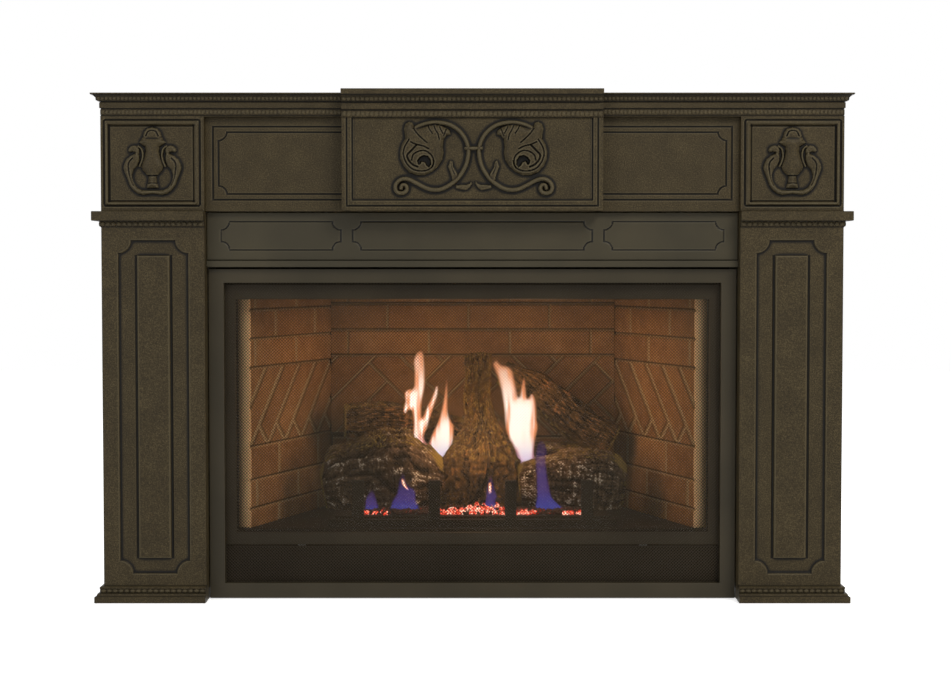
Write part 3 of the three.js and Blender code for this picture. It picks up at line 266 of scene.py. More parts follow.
def burning_gas(name, core, rim, low, tip, strength, opacity, clear_from):
    """Flame: light without a surface. It is whitest in the middle, orange at its rim and towards its tip,
    faintly violet at its foot, where the gas burns before it glows, and drawn in upright streaks. The grain
    map holds how near the rim a point is, and how far up the flame. From clear_from upwards it fades."""
    material, tree, _ = surface(name)
    tree.nodes.clear()
    grain = add_node(tree, "SeparateXYZ", {"Vector": add_node(tree, "UVMap", uv_map="grain")})
    across, rise = grain.outputs["X"], grain.outputs["Y"]
    place = add_node(tree, "TexCoord").outputs["Object"]
    # streaks are about 6 mm wide and 60 mm tall
    drawn_up = add_node(tree, "Mapping", {"Vector": place}, in_Scale=(150, 1, 16))
    streaks = add_node(tree, "TexNoise", {"Vector": drawn_up}, in_Scale=1, in_Detail=1)
    edge = add_node(tree, "MapRange", {"Value": streaks}, in_From_Min=0.35, in_From_Max=0.65, in_To_Min=-0.35,
                    in_To_Max=0.45)
    out_there = add_node(tree, "Math", {0: across, 1: edge}, operation="ADD")
    body = add_node(tree, "ValToRGB", {"Fac": out_there}, [(0.25, core), (0.85, rim)])
    high = add_node(tree, "MapRange", {"Value": rise}, in_From_Min=0.55, in_From_Max=1, in_To_Max=0.85)
    foot = add_node(tree, "MapRange", {"Value": rise}, in_From_Min=0.3, in_From_Max=0.02, in_To_Max=0.9)
    light = add_node(tree, "Emission", {"Color": painted_over(tree, body, (high, tip), (foot, low))},
                     in_Strength=strength)
    dense = add_node(tree, "MapRange", {"Value": across}, in_From_Min=1, in_From_Max=0.6, in_To_Max=opacity)
    fading = add_node(tree, "MapRange", {"Value": rise}, in_From_Min=clear_from, in_From_Max=1, in_To_Min=1,
                      in_To_Max=0.3)
    share = add_node(tree, "Math", {0: dense, 1: fading}, operation="MULTIPLY")
    mixed = add_node(tree, "MixShader", {"Fac": share, 1: add_node(tree, "BsdfTransparent"), 2: light})
    add_node(tree, "OutputMaterial", {"Surface": mixed})
    return material


iron = sand_cast_iron()
hood_coat = powder_coat("satin_bronze_powder_coat", "#403b2d", "#383428", 0.42)
black_paint = powder_coat("matt_black_stove_paint", "#211d16", "#1a1711", 0.6, 0.1)
frame_coat = powder_coat("satin_brown_black_coat", "#393325", "#312c1f", 0.4, 0.2)
# the wire's black paint is drawn lighter, a painted sheen for the gloss of the wires
wire_paint = powder_coat("black_wire_with_painted_sheen", "#40382b", "#372f23", 0.55, 0.15)
brick = moulded_brick()
# the fourth colour is olive bark, which on the log tops is also painted firelight
dark_log = charred_bark("charred_bark", "#0e0a07", "#443729", "#7a654e", "#8e7c3e", "#c2bdae")
pale_log = charred_bark("olive_bark", "#0f0b06", "#46371f", "#6e5530", "#86743a", "#8a6238")
embers = glowing_fibre()
yellow_flame = burning_gas("yellow_gas_flame", "#fff2e2", "#e58e5e", "#a08cc0", "#f0a070", 1.95, 1.0, 0.6)
blue_flame = burning_gas("blue_gas_flame", "#6e54bc", "#56309a", "#5664e0", "#5c3488", 0.78, 0.45, 0.1)

ROLLED = ("TexNoise", 2, 4)
MOULD_GRAIN = ("TexNoise", 900, 1)
FINISH = {
    "cast_iron": iron, "hood_steel": hood_coat, "black_steel": black_paint, "screen_mesh": wire_paint,
    "brick": brick, "log": dark_log, "ember": embers,
    # rolled sheet: fine level lines over a clear metal shine
    "bare_steel": grained("aluminised_sheet_steel", ROLLED, [(0.3, "#8b8d8f"), (0.7, "#a3a5a6")], 0.0002, 0.2,
                          (6, 6, 300), Metallic=1, Roughness=0.42),
    # bright plate: the cloudy bloom of zinc
    "zinc_plate": grained("bright_zinc_plate", ROLLED, [(0.3, "#9b9f9c"), (0.7, "#b9bcb8")], 0.0002, 0.2,
                          (40, 40, 40), Metallic=1, Roughness=0.34),
    # drawn bar: fine lines along y, the way the valve's brass was drawn
    "brass": grained("drawn_brass", ROLLED, [(0.3, "#a98743"), (0.7, "#c5a258")], 0.0002, 0.2, (300, 6, 300),
                     Metallic=1, Roughness=0.3),
    # moulded phenolic: even colour with the faint grain of the mould, about 1 mm
    "black_plastic": grained("black_moulded_phenolic", MOULD_GRAIN, [(0.3, "#131315"), (0.7, "#17171a")],
                             0.0001, 0.3, Roughness=0.42, IOR=1.55),
    "red_plastic": grained("red_moulded_button", MOULD_GRAIN, [(0.3, "#9a2019"), (0.7, "#a8251c")],
                           0.0001, 0.3, Roughness=0.3, IOR=1.55),
    # braided glass fibre rope: charcoal strands that cross about every 3 mm
    "rope_seal": grained("braided_glass_fibre_rope", ("TexVoronoi", 330, 0),
                         [(0, "#4a4846"), (0.7, "#1d1c1b")], 0.0008, Roughness=0.95),
    # glazed insulator: smooth and bright with a few tiny pits
    "white_ceramic": grained("white_glazed_ceramic", ("TexNoise", 500, 2),
                             [(0.25, "#cfcabf"), (0.45, "#e8e3d8")], Roughness=0.15, IOR=1.5),
    # clear ceramic glass: nearly invisible head on, with a soft sheen of the room on it
    "glass": grained("clear_ceramic_glass", ("TexNoise", 7, 2), [(0.3, "#5d5a52"), (0.7, "#6d6a60")],
                     Roughness=0.06, IOR=1.45, Alpha=0.04),
}

# ---------------------------------------------------------------- building pieces


class Shape:
    """Points, faces and point values of one piece, gathered before they become an object. While mirrored is
    set, what is added goes to the left side."""

    def __init__(self, mirrored=False):
        self.points, self.faces, self.count = [], [], 0
        self.values, self.grain, self.rounded, self.mirrored = {}, [], [], mirrored

    def add(self, points, faces, rounded=None, grain=None, **values):
        """Adds faces, the first of them rounded, as many as rounded says, or all."""
        points = np.array(points, float).reshape(-1, 3)
        if self.mirrored:
            points[:, 0] *= -1
            faces = [f[::-1] for f in faces]
        start = self.count
        self.points.append(points)
        self.faces += [[start + i for i in f] for f in faces]
        self.rounded += [rounded is None or k < rounded for k in range(len(faces))]
        self.count += len(points)
        for name in {**self.values, **values}:
            earlier = self.values.setdefault(name, [np.zeros(start)])
            earlier.append(np.broadcast_to(np.asarray(values.get(name, 0.0), float), (len(points),)))
        self.grain.append(np.zeros((len(points), 2)) if grain is None else grain)

    def piece(self, name, material, slot, *stands_for, body="surround"):
        """Makes the object, on its body and in the place of the nodes that it stands for."""
        mesh = bpy.data.meshes.new(name)
        points = (np.concatenate(self.points) + (0, WALL_Y, 0)) * MM
        mesh.from_pydata(points.tolist(), [], self.faces)
        mesh.polygons.foreach_set("use_smooth", self.rounded)
        for value_name, chunks in self.values.items():
            attribute = mesh.attributes.new(value_name, "FLOAT", "POINT")
            attribute.data.foreach_set("value", np.concatenate(chunks))
        uv = mesh.uv_layers.new(name="grain")
        corner = np.zeros(len(mesh.loops), int)
        mesh.loops.foreach_get("vertex_index", corner)
        uv.data.foreach_set("uv", np.concatenate(self.grain)[corner].ravel())
        mesh.materials.append(material)
        made = bpy.data.objects.new(name, mesh)
        bpy.context.scene.collection.objects.link(made)
        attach(made, body)
        if stands_for:
            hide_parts(*stands_for)


def span(low, high, step):
    return np.linspace(low, high, max(2, int(round((high - low) / step)) + 1))


def crossings(xs, zs):
    return np.meshgrid(xs, zs, indexing="ij")


def sheet_faces(columns, rows):
    """Faces of a closed sheet whose points are a grid, column by column, and then a ring behind its border:
    the grid's faces, the others, and which points the border has."""
    border = ([(i, 0) for i in range(columns)] + [(columns - 1, j) for j in range(1, rows)]
              + [(i, rows - 1) for i in range(columns - 2, -1, -1)]
              + [(0, j) for j in range(rows - 2, 0, -1)])
    ring = [i * rows + j for i, j in border]
    start, size = columns * rows, len(ring)
    grid = [[i * rows + j, (i + 1) * rows + j, (i + 1) * rows + j + 1, i * rows + j + 1]
            for i in range(columns - 1) for j in range(rows - 1)]
    sides = [[ring[(k + 1) % size], ring[k], start + k, start + (k + 1) % size] for k in range(size)]
    return grid, sides + [[start + k for k in range(size - 1, -1, -1)]], ring


def ring_faces(rings, turns):
    """Faces between rings of points, each ring closed."""
    return [[i * turns + j, i * turns + (j + 1) % turns, (i + 1) * turns + (j + 1) % turns,
             (i + 1) * turns + j] for i in range(rings - 1) for j in range(turns)]


def carved_plate(shape, across, up, face, depth, thick, marks_and_painted_light=None):
    """A closed plate whose front is carved: depth says how far below the face each point lies."""
    grid, others, ring = sheet_faces(*across.shape)
    front = np.stack([across, face + depth, up], -1).reshape(-1, 3)
    behind = front[ring]
    behind[:, 1] = face + thick
    # dust and painted shade in the carving's hollows, rubbing and a painted highlight on its crests
    values = {name: np.append(v.ravel(), np.zeros(len(ring)))
              for name, v in (marks_and_painted_light or dust_shade_and_highlight(depth)).items()}
    shape.add(np.concatenate([front, behind]), grid + others, len(grid), **values)


def slab(shape, x, y, z, edge=0.6):
    """A rectangular wall of a casting with its edges broken by the given amount."""
    low, high = np.array([x[0], y[0], z[0]], float), np.array([x[1], y[1], z[1]], float)
    edge = min(edge, float((high - low).min()) * 0.4)
    # three points at each corner, one on each of the sides that meet there
    points, index = [], {}
    for corner in range(8):
        for axis in range(3):
            index[corner, axis] = len(points)
            ends = [(corner >> k) & 1 for k in range(3)]
            points.append([(high[k] if ends[k] else low[k]) + (k != axis) * (-edge if ends[k] else edge)
                           for k in range(3)])
    faces = []
    for axis in range(3):
        u, v = (axis + 1) % 3, (axis + 2) % 3
        for top in (0, 1):
            face = [index[(top << axis) | (a << u) | (b << v), axis]
                    for a, b in ((0, 0), (1, 0), (1, 1), (0, 1))]
            faces.append(face if top else face[::-1])
        for a, b in ((0, 0), (0, 1), (1, 0), (1, 1)):
            one = (a << u) | (b << v)
            two = one | (1 << axis)
            face = [index[one, u], index[one, v], index[two, v], index[two, u]]
            faces.append(face if a ^ b else face[::-1])
    for corner in range(8):
        face = [index[corner, k] for k in range(3)]
        faces.append(face if bin(corner).count("1") % 2 else face[::-1])
    shape.add(points, faces, 0)


def moulding(shape, profile, path):
    """Sweeps a closed profile of (reach, z) along a path of (x, y, outward x, outward y) corners. A third
    number in a profile point says how much dust and painted shade lies there."""
    profile = [(p + (0.0,))[:3] for p in profile]
    points = [(x + reach * out_x, y + reach * out_y, z) for x, y, out_x, out_y in path
              for reach, z, _ in profile]
    size = len(profile)
    ends = [list(range(size))[::-1], [(len(path) - 1) * size + i for i in range(size)]]
    shape.add(points, ring_faces(len(path), size) + ends, 0,
              hollow=[dust_and_shade_share for _, _, dust_and_shade_share in profile] * len(path))


def egg_row(shape, start, end, pitch, half, facing):
    """Beads at an even pitch along a straight run of a moulding, which stand out along facing."""
    turns, rings = 8, 3
    lift, turn = crossings(math.pi / 2 * np.arange(rings) / rings, FULL_TURN * np.arange(turns) / turns)
    along = np.append(half[0] * np.cos(lift) * np.cos(turn), 0)
    out = np.append(half[1] * np.sin(lift), half[1])
    rise = np.append(half[2] * np.cos(lift) * np.sin(turn), 0)
    bead = np.stack([along * facing[1] + out * facing[0], out * facing[1] - along * facing[0], rise], 1)
    top = (rings - 1) * turns
    faces = [f[::-1] for f in ring_faces(rings, turns)]
    faces += [[rings * turns, top + (k + 1) % turns, top + k] for k in range(turns)] + [list(range(turns))]
    start, end = np.array(start, float), np.array(end, float)
    count = max(1, round(float(np.linalg.norm(end - start)) / pitch))
    # dust and painted shade round each bead's foot, rubbing and a painted highlight rising to its crest
    for k in range(count):
        shape.add(start + (end - start) * (k + 0.5) / count + bead, faces,
                  hollow=[0.1] * turns + [0.0] * (2 * turns + 1),
                  worn=[0.0] * turns + [0.05] * turns + [0.15] * turns + [0.2])


# ---------------------------------------------------------------- carving a face


def rectangle_distance(across, up, x, z):
    """Distance to a rectangle, negative inside."""
    dx = np.maximum(x[0] - across, across - x[1])
    dz = np.maximum(z[0] - up, up - z[1])
    return np.where((dx > 0) & (dz > 0), np.hypot(dx, dz), np.maximum(dx, dz))


def rounded_distance(across, up, x, z, radius):
    """Distance to a rectangle with rounded corners."""
    return rectangle_distance(across, up, (x[0] + radius, x[1] - radius),
                              (z[0] + radius, z[1] - radius)) - radius


def notched_distance(across, up, x, z, radius):
    """Distance to a rectangle whose corners are hollowed by quarter circles."""
    corners = [radius - np.hypot(across - cx, up - cz) for cx in x for cz in z]
    return np.max([rectangle_distance(across, up, x, z), *corners], axis=0)


def line(distance, width, depth):
    """A round-bottomed groove, or a bead with a negative depth, where the distance is near zero."""
    return depth * np.sqrt(np.clip(1 - (2 * distance / width) ** 2, 0, 1))


def sunk(distance, depth, slope=1.6):
    """A field let in by depth, with a short slope down from its edge."""
    return depth * np.clip(-distance / slope, 0, 1)


def smooth_path(points, steps=5):
    """More points along a smooth curve through the given ones."""
    p = np.array(points, float)
    p = np.vstack([2 * p[0] - p[1], p, 2 * p[-1] - p[-2]])
    path = [0.5 * (2 * b + (c - a) * t + (2 * a - 5 * b + 4 * c - d) * t**2 + (3 * b - a - 3 * c + d) * t**3)
            for a, b, c, d in zip(p, p[1:], p[2:], p[3:]) for t in np.arange(steps) / steps]
    return np.array(path + [p[-2]])


def run_beside(across, up, a, b):
    """How far along the line from a to b each point is, from 0 to 1, and how far from it."""
    (ax, az), (bx, bz) = a, b
    length = max((bx - ax) ** 2 + (bz - az) ** 2, 1e-9)
    t = np.clip(((across - ax) * (bx - ax) + (up - az) * (bz - az)) / length, 0, 1)
    return t, np.hypot(across - ax - t * (bx - ax), up - az - t * (bz - az))


def ridge(across, up, points, height, steps=5):
    """Height of a rounded stem whose points are (u, z, half width)."""
    path = smooth_path(points, steps)
    best = np.zeros_like(across)
    for (ax, az, aw), (bx, bz, bw) in zip(path, path[1:]):
        near = ((across > min(ax, bx) - 20) & (across < max(ax, bx) + 20)
                & (up > min(az, bz) - 20) & (up < max(az, bz) + 20))
        t, away = run_beside(across[near], up[near], (ax, az), (bx, bz))
        width = np.maximum(aw + t * (bw - aw), 0.3)
        stem = np.sqrt(np.clip(1 - (away / width) ** 2, 0, 1)) * np.minimum(width / 3.0, 1)
        best[near] = np.maximum(best[near], stem)
    return best * height


def inside(across, up, outline):
    """Which points lie inside a closed outline, and their distance to its edge."""
    hit, away = np.zeros(across.shape, bool), np.full(across.shape, 1e9)
    ring = list(outline)
    for (ax, az), (bx, bz) in zip(ring, ring[1:] + ring[:1]):
        at = ax + (up - az) * (bx - ax) / (bz - az if bz != az else 1e-9)
        hit ^= ((az > up) != (bz > up)) & (across < at)
        away = np.minimum(away, run_beside(across, up, (ax, az), (bx, bz))[1])
    return hit, away


def swell(across, up, outline, height, rise):
    """A rounded body inside an outline: it rises from its edge over the given distance."""
    hit, away = inside(across, up, outline)
    share = np.clip(away / rise, 0, 1)
    return np.where(hit, height * np.sqrt(1 - (1 - share) ** 2), 0)


def dust_shade_and_highlight(depth):
    """Dust and painted shade where a carved face lies below what is round it, and rubbing with a painted
    highlight where it stands above.
    """

    def mean_round(cells):
        padded = np.pad(depth, cells, mode="edge")
        (columns, rows), size = depth.shape, 2 * cells + 1
        return sum(padded[i : i + columns, j : j + rows] for i in range(size) for j in range(size)) / size**2

    below = depth - mean_round(2)
    return {"hollow": np.clip(2.0 * below + 0.9 * (depth - mean_round(6)) - 0.08, 0, 1),
            "worn": np.clip(-0.6 * below - 0.1, 0, 0.4)}


def both_sides(outline):
    """A closed outline from one that starts and ends on the middle line."""
    return list(outline) + [(-x, z) for x, z in reversed(outline)]


def stroke(points, half):
    return [(x, z, half) for x, z in points]


# ---------------------------------------------------------------- cast surround

CARVED_STEP = 0.8
PLAIN_STEP = 0.9
RELIEF_SCALE = 1.35  # brings the urns and the scroll to the height that their shadows show
OUT_PATH = [(OPENING_EDGE, LEG_FACE, 0, -1), (OUTER_EDGE, LEG_FACE, 1, -1), (OUTER_EDGE, 0, 1, 0)]


def side_rows(shape, inner, reach, z, pitch, half):
    """A row of beads along the front of a moulding and back along its outer end."""
    face, end = LEG_FACE - reach, OUTER_EDGE + reach
    egg_row(shape, (inner + 1, face, z), (end - 1, face, z), pitch, half, (0, -1))
    egg_row(shape, (end, face + 2, z), (end, 0, z), pitch, half, (1, 0))


def leg_shape(mirrored):
    shape = Shape(mirrored)
    zs = np.concatenate([span(22, 84, PLAIN_STEP), span(90, 450, 12), span(456, CAP_BEAD_FOOT, PLAIN_STEP)])
    across, up = crossings(span(OPENING_EDGE, OUTER_EDGE, PLAIN_STEP), zs)
    panel = notched_distance(across, up, (LEG_CENTRE - 51, LEG_CENTRE + 51), (40, 520), 18.6)
    pad_z = (62, 498)
    pad = rectangle_distance(across, up, (LEG_CENTRE - 24, LEG_CENTRE + 24), pad_z)
    pad_groove = line(np.where((up > pad_z[0]) & (up < pad_z[1]), pad - 1.0, 9), 3.6, 1.4)
    carved_plate(shape, across, up, LEG_FACE, sunk(panel, 3.4, 2.4) - sunk(pad, 3.6, 2.2) + pad_groove, 11)
    between = (OPENING_EDGE + 7, OUTER_EDGE - 7)
    for x, z in (((OPENING_EDGE, OPENING_EDGE + CAST_WALL), (0, LEG_TOP)),
                 ((OUTER_EDGE - CAST_WALL, OUTER_EDGE), (0, LEG_TOP)),
                 (between, (LEG_TOP - CAST_WALL, LEG_TOP)), (between, (0, CAST_WALL))):
        slab(shape, x, (LEG_FACE + 10.5, 0), z)
    # third numbers lay dust and painted shade in the profile's crevices
    cap = [(-11, LEG_TOP), (-11, CAP_BEAD_FOOT - 1), (0.2, CAP_BEAD_FOOT - 1, 1),
           (1.0, CAP_BEAD_FOOT + 0.2, 0.8), (2.4, CAP_BEAD_FOOT + 0.8, 0.2), (2.4, CAP_FOOT - 1.4, 0.2),
           (2.6, CAP_FOOT - 0.4, 1), (CAP_REACH - 0.6, CAP_FOOT, 0.4), (CAP_REACH, CAP_FOOT + 0.7),
           (CAP_REACH, LEG_TOP - 0.7), (CAP_REACH - 0.7, LEG_TOP)]
    moulding(shape, cap[::-1], OUT_PATH)
    side_rows(shape, OPENING_EDGE, 2.4, 542.2, 7.8, (3.9, 1.4, 3.6))
    # third numbers lay dust and painted shade in the profile's crevices
    plinth = [(-11, 0), (CAP_REACH - 0.5, 0), (CAP_REACH, 0.6), (CAP_REACH, 8.4), (11.2, 9.2),
              (9.6, 9.8, 0.8), (8.8, 10.6), (8.4, 13.0), (5.2, 13.8, 1), (4.4, 14.6, 0.3), (4.4, 18.6, 0.3),
              (4.6, 19.4, 1), (5.6, 20.2), (5.4, 22.0), (3.4, 23.0), (0.6, 23.8, 0.8), (0.2, 24.2, 0.6),
              (-11, 24.2)]
    moulding(shape, plinth, OUT_PATH)
    side_rows(shape, OPENING_EDGE, 4.9, 16.6, 8.4, (4.2, 1.4, 3.0))
    return shape


leg_shape(True).piece("left_pilaster", iron, "cast_iron", "left_leg")
leg_shape(False).piece("right_pilaster", iron, "cast_iron", "right_leg")

# urn on the corner blocks, as (distance from its middle, z): outlines of its right half
URN_BODY = [(0, 593), (8.2, 593), (8.6, 595.8), (6.5, 602.2), (5.8, 608.6), (9.3, 612.8), (14.3, 618.5),
            (15.8, 623.4), (14.6, 630), (11.5, 637), (9.8, 645), (10.4, 651.5), (19.6, 657.7), (16, 661.5),
            (14.6, 664.5), (12.5, 666.2), (0, 666.2)]
URN_LID = [(0, 661), (12.6, 661), (13.4, 667), (12, 672.5), (7.8, 677.6), (0, 679.6)]
URN_LEAF = [(0, 589.8), (7.9, 590), (15, 590.2), (21.4, 593.4), (25.7, 598.7), (28.2, 604.3), (29.1, 611.4),
            (26.4, 619.2), (21.4, 624.8), (18.9, 631.2), (18.2, 637.6), (19.6, 643.2), (22.8, 646.7),
            (25, 641.8), (31, 639), (37.1, 634), (40.6, 626.9), (41.7, 621.3), (39.5, 614.9), (36.3, 607.1),
            (32.8, 597.2), (27.8, 590.2), (21.4, 585.2), (14.3, 583.1), (6.5, 584.2), (0, 584.9)]
URN_CURL = [(18.9, 641.8), (18.2, 647.5), (20, 651.7), (25, 653.8), (29.9, 652.8), (33.5, 649.6), (34.8, 646),
            (32.1, 643.8), (28.5, 644.8), (25, 643.8), (23.5, 641.4)]
URN_STEM = [(20, 652.4), (15.7, 648.9), (13.9, 643.2), (13.9, 636.1), (15.7, 629.8), (18.2, 624.1)]
URN_LEAF_VEIN = [(27.8, 635.4), (32.1, 630.5), (33.9, 624.8), (33.5, 619.9), (31.6, 608), (27, 597)]
LID_ARC = [(0, 675.0, 1.1), (5.5, 673.2, 1.2), (8.6, 667, 1.3)]


def urn_height(u, up):
    """The urn between its two curling leaves, mirrored about its own middle."""
    side = np.abs(u)
    height = np.max([swell(u, up, both_sides(URN_BODY), 6.2, 12.0),
                     swell(u, up, both_sides(URN_LID), 5.0, 7.0),
                     swell(u, up, both_sides(URN_LEAF), 5.0, 4.2), swell(side, up, URN_CURL, 4.6, 3.4),
                     ridge(side, up, stroke(URN_STEM, 1.5), 7.0)], axis=0)
    height = height - ridge(side, up, stroke(URN_LEAF_VEIN, 1.2), 4.0) - ridge(side, up, LID_ARC, 5.0)
    # the turned rings round the foot
    height = height - np.where(side < 9, line(up - 610.5, 2.4, 1.8) + line(up - 600, 2.2, 1.2), 0)
    return np.maximum(height, 0) * RELIEF_SCALE


def corner_block(shape):
    across, up = crossings(span(OPENING_EDGE, OUTER_EDGE, CARVED_STEP),
                           span(HEADER_FOOT, FACE_TOP + 1, CARVED_STEP))
    edge = rounded_distance(across, up, (388.0, 524.4), (567.6, 689.8), 3)
    field = rectangle_distance(across, up, (396.5, 518.0), (574.0, 682.3))
    bead = rounded_distance(across, up, (392.3, 521.0), (571.0, 686.0), 4)
    depth = (line(edge, 3.2, 2.4) - line(bead, 3.2, 1.0) + line(field + 0.4, 3.4, 2.6) + sunk(field, 3.4, 1.5)
             - urn_height(across - LEG_CENTRE, up))
    carved_plate(shape, across, up, LEG_FACE, depth, 12)


def frieze(shape):
    across, up = crossings(span(BLOCK_EDGE - 12, OPENING_EDGE, CARVED_STEP),
                           span(HEADER_FOOT, FACE_TOP + 1, CARVED_STEP))
    outer = rectangle_distance(across, up, (0, 372), (575.3, 682.3))
    inner = notched_distance(across, up, (0, 364), (583.3, 674.3), 12)
    outlines = line(outer + 1.5, 2.8, 1.9) + line(inner + 1.5, 2.8, 1.9)
    carved_plate(shape, across, up, FRIEZE_FACE, outlines, 9.6)


def header_shape():
    shape = Shape()
    behind_block, behind_frieze, tall = LEG_FACE + 11.5, FRIEZE_FACE + 9, (HEADER_FOOT, SHELF_TOP - 6)
    # third numbers lay dust and painted shade in the profile's crevices
    cornice = [(-9, FACE_TOP), (0.0, FACE_TOP, 0.3), (0.3, FACE_TOP + 0.8), (-0.6, 695.9, 1),
               (-0.6, 696.5, 1), (0.0, 697.2, 0.1), (0.0, 704.2, 0.1), (-0.6, 704.8, 1), (-0.6, 705.9, 1),
               (1.0, 706.5), (1.2, 707.1), (1.2, 713.8), (0.9, 714.3), (0.0, 714.8, 1), (0.2, 715.8, 1),
               (2.6, 716.4, 0.25), (4.4, 719.6, 0.25), (8.4, 723.6, 0.6), (8.6, 724.6, 1), (11.7, 724.9, 0.8),
               (12.3, 725.5), (12.3, SHELF_TOP - 0.5), (11.6, SHELF_TOP), (-1.6, SHELF_TOP),
               (-1.7, SHELF_TOP - 1), (-9, SHELF_TOP - 1)]
    for shape.mirrored in (True, False):
        corner_block(shape)
        frieze(shape)
        slab(shape, (OUTER_EDGE - CAST_WALL, OUTER_EDGE), (behind_block, 0), tall)
        slab(shape, (OPENING_EDGE - 4, OPENING_EDGE + 4), (behind_block, 0), tall)
        slab(shape, (0, OUTER_EDGE - 7), (behind_frieze, 0), (HEADER_FOOT, HEADER_FOOT + CAST_WALL))
        slab(shape, (0, BLOCK_EDGE + 2), (behind_frieze, -0.2), (713, 721.9))
        slab(shape, (BLOCK_EDGE + 0.6, OUTER_EDGE - 1), (LEG_FACE + 1, 0), (FACE_TOP, SHELF_TOP))
        moulding(shape, cornice, [(BLOCK_EDGE + 0.6, LEG_FACE, 0, -1)] + OUT_PATH[1:])
        side_rows(shape, BLOCK_EDGE, 0.0, 700.7, 5.7, (2.85, 0.55, 3.5))
        side_rows(shape, BLOCK_EDGE, 5.4, 720.3, 5.7, (2.85, 1.0, 3.5))
    return shape


header_shape().piece("header_casting", iron, "cast_iron", "header")

# double scroll as (distance from the block's middle, z): strokes and outlines of its right half
SCROLL_RING = [(81.5, 677.1), (75, 680.3), (65.2, 683.3), (54.7, 684.7), (42.4, 683.7), (31.9, 680.6),
               (22.1, 674.4), (14.8, 666.3), (9.9, 657), (7.5, 646.5), (7.9, 636.8), (10.7, 625.5),
               (15.6, 615.4), (22.9, 605.3), (33.5, 596.8), (44.1, 591.2), (53.8, 589.6), (63.6, 590.9),
               (73.4, 595.2), (83.1, 600.5), (92.1, 604.5), (99, 605.2), (105.5, 602.5), (110, 597.2),
               (110.7, 591.2), (107.6, 586.3), (101.9, 585), (96.6, 587.1), (94.4, 591.6), (96.6, 596),
               (101, 596), (102.7, 592)]
SCROLL_BODY = [(97.4, 667.5), (99, 675.6), (96.6, 682.9), (91.3, 686), (86.4, 684.5), (83.6, 679.2),
               (79.9, 677.9), (72.6, 679.2), (63.6, 681.7), (53.8, 682.5), (45.7, 680.5), (37.6, 676.8),
               (33.5, 673.2), (32.3, 667.9), (38, 665.9), (42, 661.1), (43.3, 649.8), (42, 641.7),
               (44.1, 632), (50.6, 621.9), (58.7, 615), (69.3, 610.2), (80.7, 610.2), (91.3, 614.2),
               (99.4, 623.1), (103.9, 633.6), (104.3, 643.3), (101.9, 653.8), (97, 661.9)]
BODY_GROOVES = [(1.2, [(88.8, 657), (80.7, 653.4), (70.9, 651), (63.6, 647.3)]),
                (1.2, [(91.3, 660.3), (97.4, 649.8), (99.4, 640.1), (96.2, 629.6), (90.5, 621.9),
                       (83.1, 617.4), (73.4, 616), (64.4, 617.8), (57.9, 623.1), (55.9, 630.4)]),
                (1.5, [(80.7, 652.6), (88, 644.9), (93.7, 638.4), (91.7, 631.2), (86, 625.1), (79.1, 621.9)]),
                (1.2, [(87.6, 631.2), (85.6, 638.4), (79.1, 643.3), (70.1, 644.9), (62.8, 641.3),
                       (57.8, 635.2), (56.9, 627.1), (59.5, 620.7)]),
                (1.0, [(55.9, 679.2), (53.8, 674), (50.2, 667.5), (48.6, 660.3)]),
                (1.0, [(64.4, 679.6), (62.4, 674.8), (58.3, 669.1)]),
                (1.0, [(48.1, 678.4), (46.1, 674), (43.7, 669.1)]),
                (1.0, [(38.4, 675.6), (40.4, 670.8), (42.4, 665.9)]),
                (1.1, [(85, 676), (79, 668), (72, 661), (66, 656)])]
BODY_PIT = [(80.3, 630.4), (76.7, 635.5), (70.8, 638.8), (64.4, 637.3), (60.3, 631.6), (59.8, 625.2),
            (63.1, 620.9), (66.9, 623.5), (69.0, 627.8), (73.4, 629.1), (75.2, 625.2), (78.2, 625.0)]
SMALL_LEAF = [(33.3, 631.5), (29.6, 629.4), (28.8, 621.9), (24.5, 615.4), (21.3, 609.4), (23.7, 603.7),
              (30.2, 598.8), (31.1, 607.3), (33.7, 615.4), (36.6, 622.3)]
SMALL_LEAF_VEIN = [(31.9, 627.1), (30.6, 620.7), (27, 611.8)]
BUD = [(25.4, 596), (18, 596.8), (10.7, 596.8), (5.8, 598.8), (3, 602.5), (2.2, 598), (5.8, 592.8),
       (10.7, 589.2), (18, 590.4), (25.4, 592)]
CLASP = [(-10.7, 648.3, 2.7), (10.7, 648.3, 2.7)]
SCROLL_MIDDLE = 1.8  # the carving sits a little to the right of the block's middle


def scroll_height(across, up):
    """Two scrolls back to back, held by a clasp, each round a carved leaf body."""
    across = across - SCROLL_MIDDLE
    u = np.abs(across)
    body = swell(u, up, SCROLL_BODY, 6.6, 10.0)
    for half, groove in BODY_GROOVES:
        body = body - ridge(u, up, stroke(groove, half), 5.4)
    body = np.maximum(body - swell(u, up, BODY_PIT, 6.0, 2.0), 0)
    small = swell(u, up, SMALL_LEAF, 3.6, 2.4) - ridge(u, up, stroke(SMALL_LEAF_VEIN, 0.9), 4.0)
    return RELIEF_SCALE * np.max([body, ridge(u, up, stroke(SCROLL_RING, 3.1), 5.4), small,
                                  swell(u, up, BUD, 3.6, 2.4), ridge(across, up, CLASP, 6.0, 1)], axis=0)


